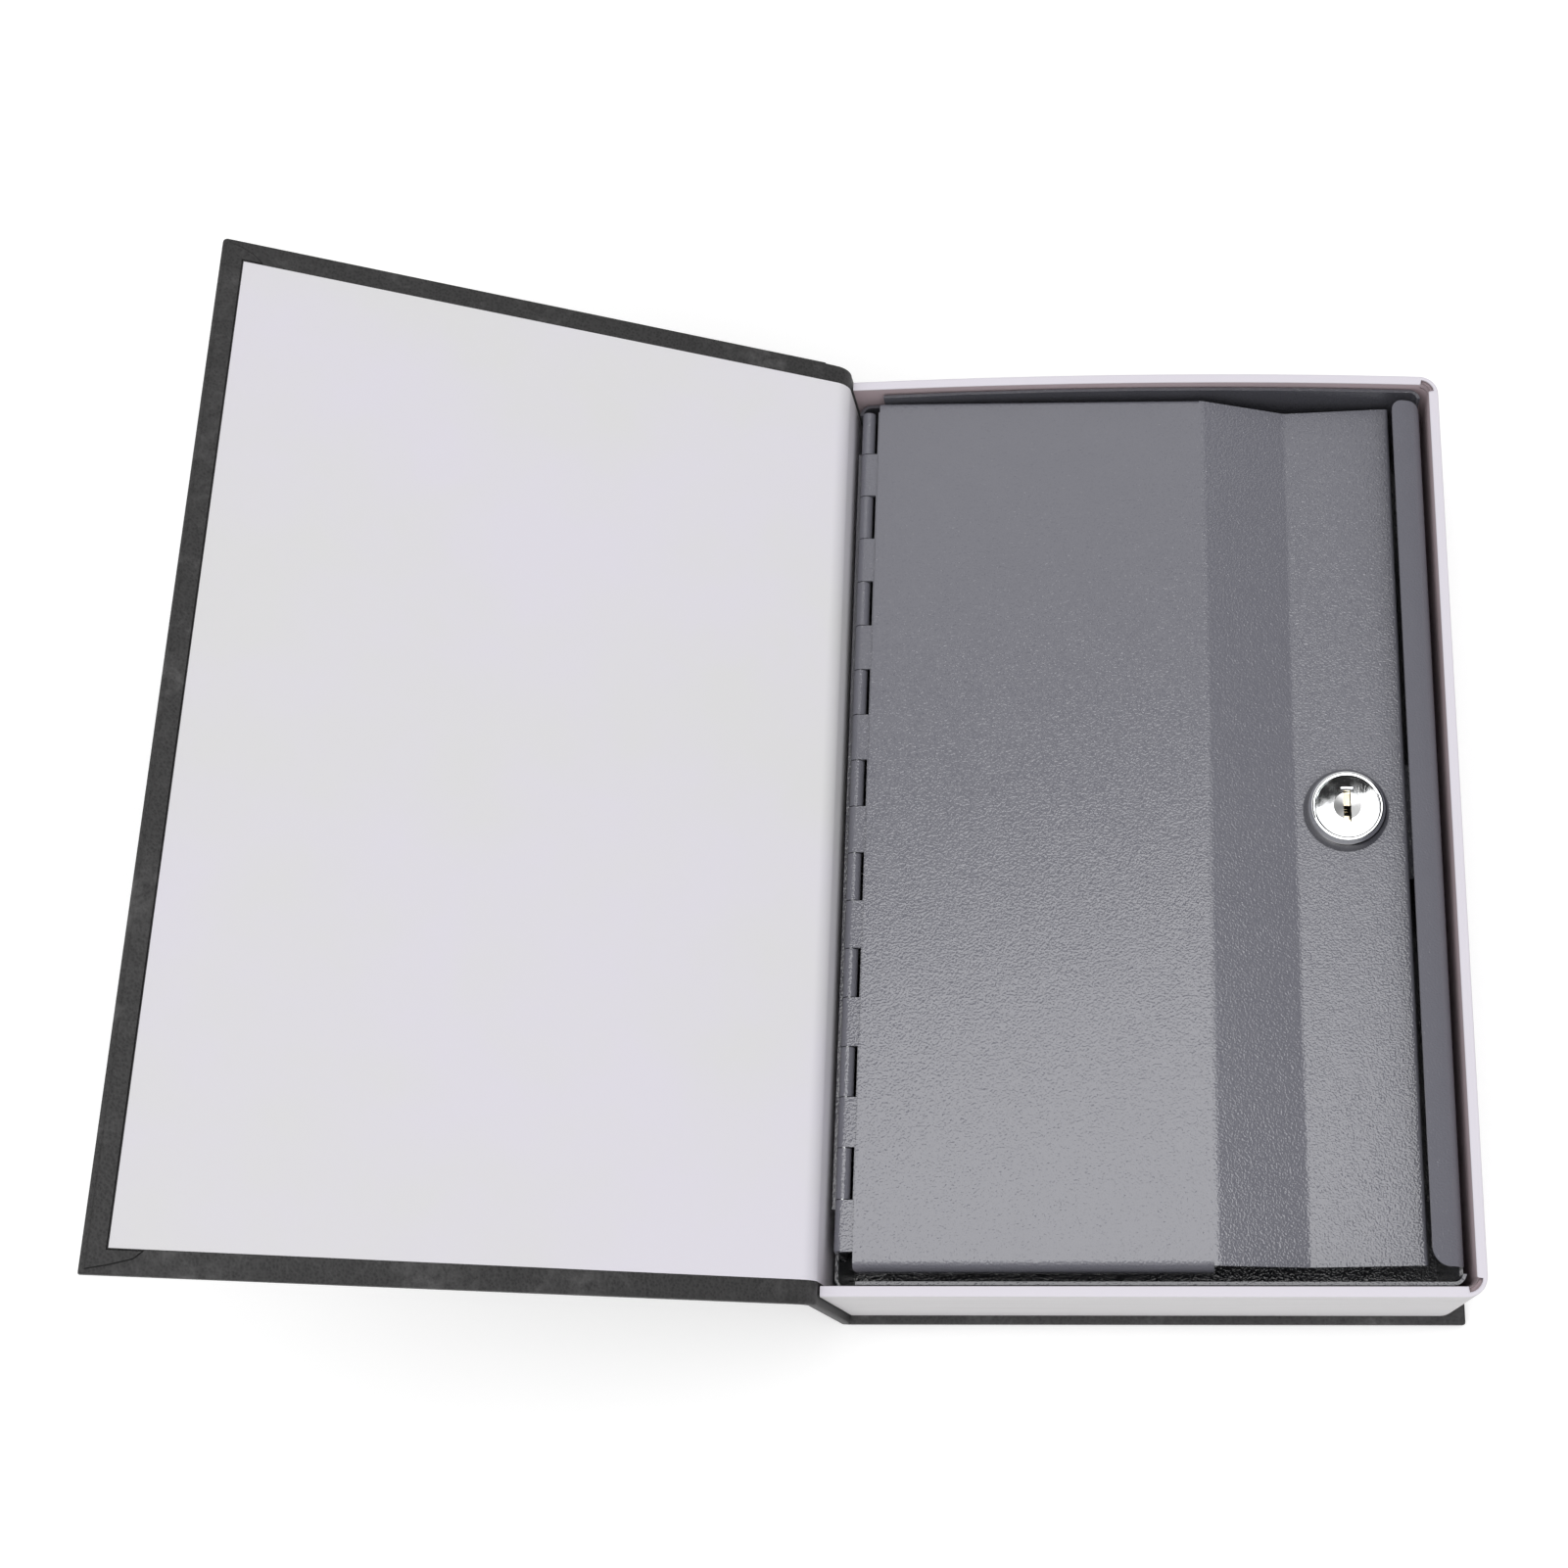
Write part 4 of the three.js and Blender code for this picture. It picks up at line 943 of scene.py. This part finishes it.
# the outside line of the tray from the spine end of its tail wall round to that of its head wall,
# as stations with a place, the way out and whether the rim can be notched there
def trayPath():
    size = pageTray
    radius = size["cornerRadius"]
    half = size["halfLength"]
    middleX = size["foreX"] - radius
    stations = []
    tailSteps, cornerSteps, bowSteps = 12, 9, 30
    for step in range(tailSteps):
        x = size["spineX"] + (middleX - size["spineX"]) * step / tailSteps
        stations.append(((x, -half), (0.0, -1.0), False))
    for side, begin in ((-1, -90), (1, 0)):
        for step in range(cornerSteps + 1):
            angle = radians(begin + 90 * step / cornerSteps)
            way = (cos(angle), sin(angle))
            place = (middleX + radius * way[0], side * (half - radius) + radius * way[1])
            stations.append((place, way, 0 < step < cornerSteps))
    far = size["spineX"] - size["bowReach"]
    first, pull, last = (middleX, half), ((far + size["foreX"]) / 2, half + 2 * size["bow"]), (far, half)
    for step in range(1, bowSteps + 1):
        t = step / bowSteps * size["bowShare"]
        x, y = curvePoint(first, pull, last, t)
        slope = (1 - t) * (pull[1] - first[1]) + t * (last[1] - pull[1])
        run = (1 - t) * (pull[0] - first[0]) + t * (last[0] - pull[0])
        way = Vector((slope, -run)).normalized()
        if x > size["spineX"] + 0.1 * mm:
            stations.append(((x, y), (way.x, way.y), False))
    stations.append(((size["spineX"], half + size["spineEnd"]), (0.0, 1.0), False))
    return stations


# the profile of the folded card, as how far in from the outside line and how high
def trayProfile():
    size = pageTray
    top = size["top"]
    outer = size["outerFold"]
    inner = size["innerFold"]
    rows = [(0.0, size["bottom"])]
    for step in range(6):
        angle = radians(90 * step / 5)
        rows.append((outer - outer * cos(angle), top - outer + outer * sin(angle)))
    rows.append((size["notchFrom"], top))
    for step in range(5):
        angle = radians(90 * step / 4)
        rows.append((size["rim"] - inner + inner * sin(angle), top - inner + inner * cos(angle)))
    rows.append((size["rim"], size["bottom"]))
    return rows


def makePageTray():
    size = pageTray
    bm = bmesh.new()
    stations = trayPath()
    rows = trayProfile()
    grid = []
    for place, way, _ in stations:
        ring = []
        for inset, height in rows:
            x = place[0] - way[0] * inset
            if x < size["spineX"] + tiny:
                x = size["spineX"] - (height - size["bottom"]) * tan(spine["lean"])
            ring.append(bm.verts.new((x, place[1] - way[1] * inset, height)))
        grid.append(ring)
    notchRow = next(i for i, row in enumerate(rows) if row[0] == size["notchFrom"])
    innerWall = len(rows) - 2
    notches = [i for i in range(len(stations) - 1) if stations[i][2] and stations[i + 1][2]]
    for i in range(len(stations) - 1):
        for j in range(len(rows) - 1):
            if i in notches and notchRow <= j < innerWall:
                continue
            face = bm.faces.new((grid[i][j], grid[i + 1][j], grid[i + 1][j + 1], grid[i][j + 1]))
            face.material_index = 1 if j == innerWall else 0
    # a tab of raw card shows in each notch, a little lower than the rim
    tabHeight = size["top"] - size["tabDrop"]
    outer, inner = size["card"], size["rim"]
    for first in notches:
        quad = []
        for i, inset in ((first, outer), (first + 1, outer), (first + 1, inner), (first, inner)):
            place, way = stations[i][0], stations[i][1]
            point = (place[0] - way[0] * inset, place[1] - way[1] * inset, tabHeight)
            quad.append(bm.verts.new(point))
        bm.faces.new(quad).material_index = 1
    bmesh.ops.remove_doubles(bm, verts=bm.verts, dist=tiny)
    bmesh.ops.recalc_face_normals(bm, faces=bm.faces)
    wall = max(bm.faces, key=lambda f: f.calc_center_median().x)
    if wall.normal.x < 0:
        bmesh.ops.reverse_faces(bm, faces=bm.faces)
    piece = addPiece("page_tray", bm, card, "case", ["page_frame"], 40)
    piece.data.materials.append(rawCard)
    thicken(piece, size["card"], -1.0)
    evenShading(piece)


makePageTray()
print("page tray ready")


# ---- steel box and lid

# the box keeps the plain paint on its lip and on the outside of its fore wall; all its other faces take the
# darkened paint, a painted shade
boxLip = {"width": 8.4 * mm, "depth": 2.5 * mm}


def paintShadeInside(piece):
    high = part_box("steel_box")[1]
    piece.data.materials.append(paintedShadeInside)
    for face in piece.data.polygons:
        onLip = face.center.x > high[0] - boxLip["width"] and face.center.z > high[2] - boxLip["depth"]
        outside = face.center.x > 0 and face.normal.x > 0.5
        face.material_index = 0 if onLip or outside else 1


paintShadeInside(dressedCopy("steel_box", "box_shell", paint, 0.25 * mm, 3))
dressedCopy("lid_plate", "lid_panel", paint, 0.12 * mm, 2)
dressedCopy("box_hinge_leaf", "hinge_leaf_box", paint, 0.12 * mm, 2, 35)
dressedCopy("lid_hinge_leaf", "hinge_leaf_lid", paint, 0.12 * mm, 2, 35)
dressedCopy("strike_bracket", "strike_plate", paint, 0.12 * mm, 2)
print("steel box and lid ready")


# ---- lock

plugFace = {
    "keywayHalf": 1.6 * mm,
    "darkBelow": 1.0 * mm,  # the keyway's walls take the painted shade from this far down
    "dish": (0.9, 0.999),  # the normal's Z on the dished middle
}


# the plug's dished middle is turned, and the keyway's walls are painted dark as shade
def makeLockCore():
    piece = smoothCopy("lock_plug", "lock_core", chrome, 8)
    mesh = piece.data
    mesh.materials.append(paintedShadeBore)
    mesh.materials.append(turnedChrome)
    low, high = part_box("lock_plug")
    middle = (low[0] + high[0]) / 2
    shallow, level = plugFace["dish"]
    for face in mesh.polygons:
        deep = face.center.z < high[2] - plugFace["darkBelow"]
        if deep and abs(face.center.x - middle) < plugFace["keywayHalf"]:
            face.material_index = 1
        elif shallow < face.normal.z < level:
            face.material_index = 2


# the lock's rounded skirt and raised rim, as a turned ring over the housing
lockRing = {
    "height": 4.43 * mm,
    "clearance": 0.03 * mm,  # how far its top stands over the housing's
    "reach": 10.68 * mm,
    "foot": 0.3 * mm,
    "bulge": (10.2 * mm, 2.4 * mm),
    "shoulder": (8.98 * mm, 3.35 * mm),
    "edge": 0.36 * mm,
    "bore": 7.87 * mm,
    "boreEdge": 0.16 * mm,
    "depth": 0.8 * mm,
    "innerLap": 0.5 * mm,
    "segments": 144,
}


def makeLockRing():
    size = lockRing
    low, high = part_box("lock_housing")
    axis = ((low[0] + high[0]) / 2, (low[1] + high[1]) / 2)
    base = high[2] + size["clearance"] - size["height"]
    top = size["height"]
    outline = [(size["reach"], 0.0)]
    foot = (size["reach"], size["foot"])
    outline += [curvePoint(foot, size["bulge"], size["shoulder"], step / 8) for step in range(9)]
    rim = size["shoulder"][0] - size["edge"]
    for step in range(7):
        angle = radians(15 * step)
        outline.append((rim + size["edge"] * cos(angle), top - size["edge"] + size["edge"] * sin(angle)))
    bore, soft = size["bore"], size["boreEdge"]
    for step in range(4):
        angle = radians(90 + 30 * step)
        outline.append((bore + soft * (1 + cos(angle)), top - soft * (1 - sin(angle))))
    depth = top - size["depth"]
    outline += [(bore, depth), (bore + size["innerLap"], depth), (rim, 0.0)]
    bm = bmesh.new()
    ring = [bm.verts.new((axis[0] + r, axis[1], base + z)) for r, z in outline]
    edges = [bm.edges.new(pair) for pair in zip(ring, ring[1:] + ring[:1])]
    bmesh.ops.spin(
        bm, geom=ring + edges, cent=(axis[0], axis[1], 0), axis=(0, 0, 1),
        angle=radians(360), steps=size["segments"], use_merge=True,
    )
    bmesh.ops.recalc_face_normals(bm, faces=bm.faces)
    # the skirt below the shoulder takes the dimmed chrome, a painted dark reflection
    for face in bm.faces:
        if face.calc_center_median().z < base + size["shoulder"][1]:
            face.material_index = 1
    piece = addPiece("lock_skirt_ring", bm, chrome, nodes["lock_housing"]["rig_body"], [])
    piece.data.materials.append(paintedDarkReflectionChrome)


smoothCopy("lock_housing", "lock_bezel", chrome)
makeLockRing()
makeLockCore()
dressedCopy("lock_nut", "lock_ring_nut", zinc, 0.2 * mm, 2)
dressedCopy("lock_cam", "lock_tongue", zinc, 0.15 * mm, 2)
dressedCopy("cam_screw", "tongue_screw", zinc, 0.1 * mm, 2)
dressedCopy("cam_washer", "tongue_washer", zinc, 0.08 * mm, 2)
for index in range(1, 6):
    dressNode(f"wafer_{index}", brass)
    dressNode(f"wafer_spring_{index}", zinc)
dressNode("hinge_pin", zinc)
for name in ("back_board", "spine_board", "front_board"):
    dressNode(name, board)
dressNode("box_adhesive", film)
print("lock ready")


# ---- studio

studio = {
    "panelSize": (1.10, 0.95),  # the panel that shows in the gloss
    "panelPlace": (-0.0948, -0.2023, 1.25),
    "panelTurn": 18,
    "panelPower": 9.0,
    "softPower": 1.40,  # the wide soft light that shades the rest
    "softTilt": 13,
    "softSpread": 75,
    "fill": 0.61,
    "floorHalf": 3.0,
    "floorDrop": 0.3 * mm,
    "floorColour": (0.78, 0.78, 0.78, 1),
    "floorGlow": 0.34,
}

# dark cards seen only in reflections: past and along the far edge of the panel, and to the right
flags = {
    "farFlag": {
        "size": (1.4, 0.16), "place": (-0.172, 0.356, 1.245),
        "tilt": 0, "turn": studio["panelTurn"], "shade": 0.03, "hidesPanel": True,
    },
    "edgeFlag": {
        "size": (0.9, 0.04), "place": (-0.330, 0.204, 1.24),
        "tilt": 0, "turn": studio["panelTurn"], "shade": 0.03, "hidesPanel": True,
    },
    "rightFlag": {
        "size": (1.7, 2.4), "place": (1.0, 0.1, 0.95),
        "tilt": -110, "turn": 0, "shade": 0.03, "hidesPanel": False,
    },
}


def makeLights():
    panel = bpy.data.lights.new("overheadPanel", "AREA")
    panel.shape = "RECTANGLE"
    panel.size, panel.size_y = studio["panelSize"]
    panel.energy = studio["panelPower"]
    lamp = bpy.data.objects.new("overheadPanel", panel)
    lamp.location = studio["panelPlace"]
    lamp.rotation_euler = (0, 0, radians(studio["panelTurn"]))
    lamp.visible_diffuse = False
    scene.collection.objects.link(lamp)

    soft = bpy.data.lights.new("softLight", "SUN")
    soft.energy = studio["softPower"]
    soft.angle = radians(studio["softSpread"])
    wide = bpy.data.objects.new("softLight", soft)
    wide.rotation_euler = (radians(studio["softTilt"]), 0, 0)
    wide.visible_glossy = False
    scene.collection.objects.link(wide)


def makeAir():
    world = bpy.data.worlds.new("studioAir")
    scene.world = world
    world.use_nodes = True
    tree = world.node_tree
    tree.nodes.clear()
    out = tree.nodes.new("ShaderNodeOutputWorld")
    air, white = (tree.nodes.new("ShaderNodeBackground") for _ in range(2))
    for shade, strength in ((air, studio["fill"]), (white, 1.0)):
        shade.inputs["Color"].default_value = (1, 1, 1, 1)
        shade.inputs["Strength"].default_value = strength
    choose = tree.nodes.new("ShaderNodeMixShader")
    tree.links.new(seenDirectly(tree), choose.inputs[0])
    tree.links.new(air.outputs[0], choose.inputs[1])
    tree.links.new(white.outputs[0], choose.inputs[2])
    tree.links.new(choose.outputs[0], out.inputs["Surface"])


# a sheet of the studio with a dull plain material
def addSheet(name, bm, colour):
    mesh = bpy.data.meshes.new(name)
    bm.to_mesh(mesh)
    bm.free()
    sheet = bpy.data.objects.new(name, mesh)
    scene.collection.objects.link(sheet)
    material, tree, shader = newMaterial(name)
    shader.inputs["Base Color"].default_value = colour
    shader.inputs["Roughness"].default_value = 1.0
    shader.inputs["Specular IOR Level"].default_value = 0.0
    mesh.materials.append(material)
    return sheet, tree, shader


def makeFloor():
    bm = bmesh.new()
    bmesh.ops.create_grid(bm, x_segments=1, y_segments=1, size=studio["floorHalf"])
    bmesh.ops.translate(bm, vec=(0, 0, -studio["floorDrop"]), verts=bm.verts)
    floor, tree, shader = addSheet("floor", bm, studio["floorColour"])
    shader.inputs["Emission Color"].default_value = (1, 1, 1, 1)
    glow = mathNode(tree, "MULTIPLY", seenDirectly(tree), studio["floorGlow"])
    tree.links.new(glow, shader.inputs["Emission Strength"])


def addFlag(name):
    card = flags[name]
    bm = bmesh.new()
    bmesh.ops.create_grid(bm, x_segments=1, y_segments=1, size=0.5)
    bmesh.ops.scale(bm, vec=(*card["size"], 1), verts=bm.verts)
    for angle, axis in ((card["tilt"], "Y"), (card["turn"], "Z")):
        turning = Matrix.Rotation(radians(angle), 3, axis)
        bmesh.ops.rotate(bm, cent=(0, 0, 0), matrix=turning, verts=bm.verts)
    bmesh.ops.translate(bm, vec=card["place"], verts=bm.verts)
    flag = addSheet(name, bm, (*[card["shade"]] * 3, 1))[0]
    flag.visible_camera = False
    flag.visible_diffuse = False
    flag.visible_shadow = card["hidesPanel"]
    flag.visible_transmission = False


# where the photograph was taken from, fitted to the book's corners
photoView = {
    "imageSize": 1601,
    "focalLength": 2302.14,  # in pixels, as is the middle of the view
    "middle": (1082.14, 768.59),
    "sensor": 36.0,
    "place": (-5.68 * mm, -166.47 * mm, 582.51 * mm),
    "turn": (18.81, 1.75, 0.21),
}


def makeCamera():
    view = photoView
    size = view["imageSize"]
    data = bpy.data.cameras.new("photoCamera")
    data.sensor_width = view["sensor"]
    data.lens = view["focalLength"] / size * view["sensor"]
    data.shift_x = -(view["middle"][0] - size / 2) / size
    data.shift_y = (view["middle"][1] - size / 2) / size
    data.clip_start = 0.02
    data.clip_end = 20.0
    camera = bpy.data.objects.new("photoCamera", data)
    camera.location = view["place"]
    camera.rotation_euler = [radians(angle) for angle in view["turn"]]
    scene.collection.objects.link(camera)
    scene.camera = camera


makeLights()
makeAir()
makeFloor()
for name in flags:
    addFlag(name)
makeCamera()
scene.view_settings.view_transform = "Standard"
print("studio ready")
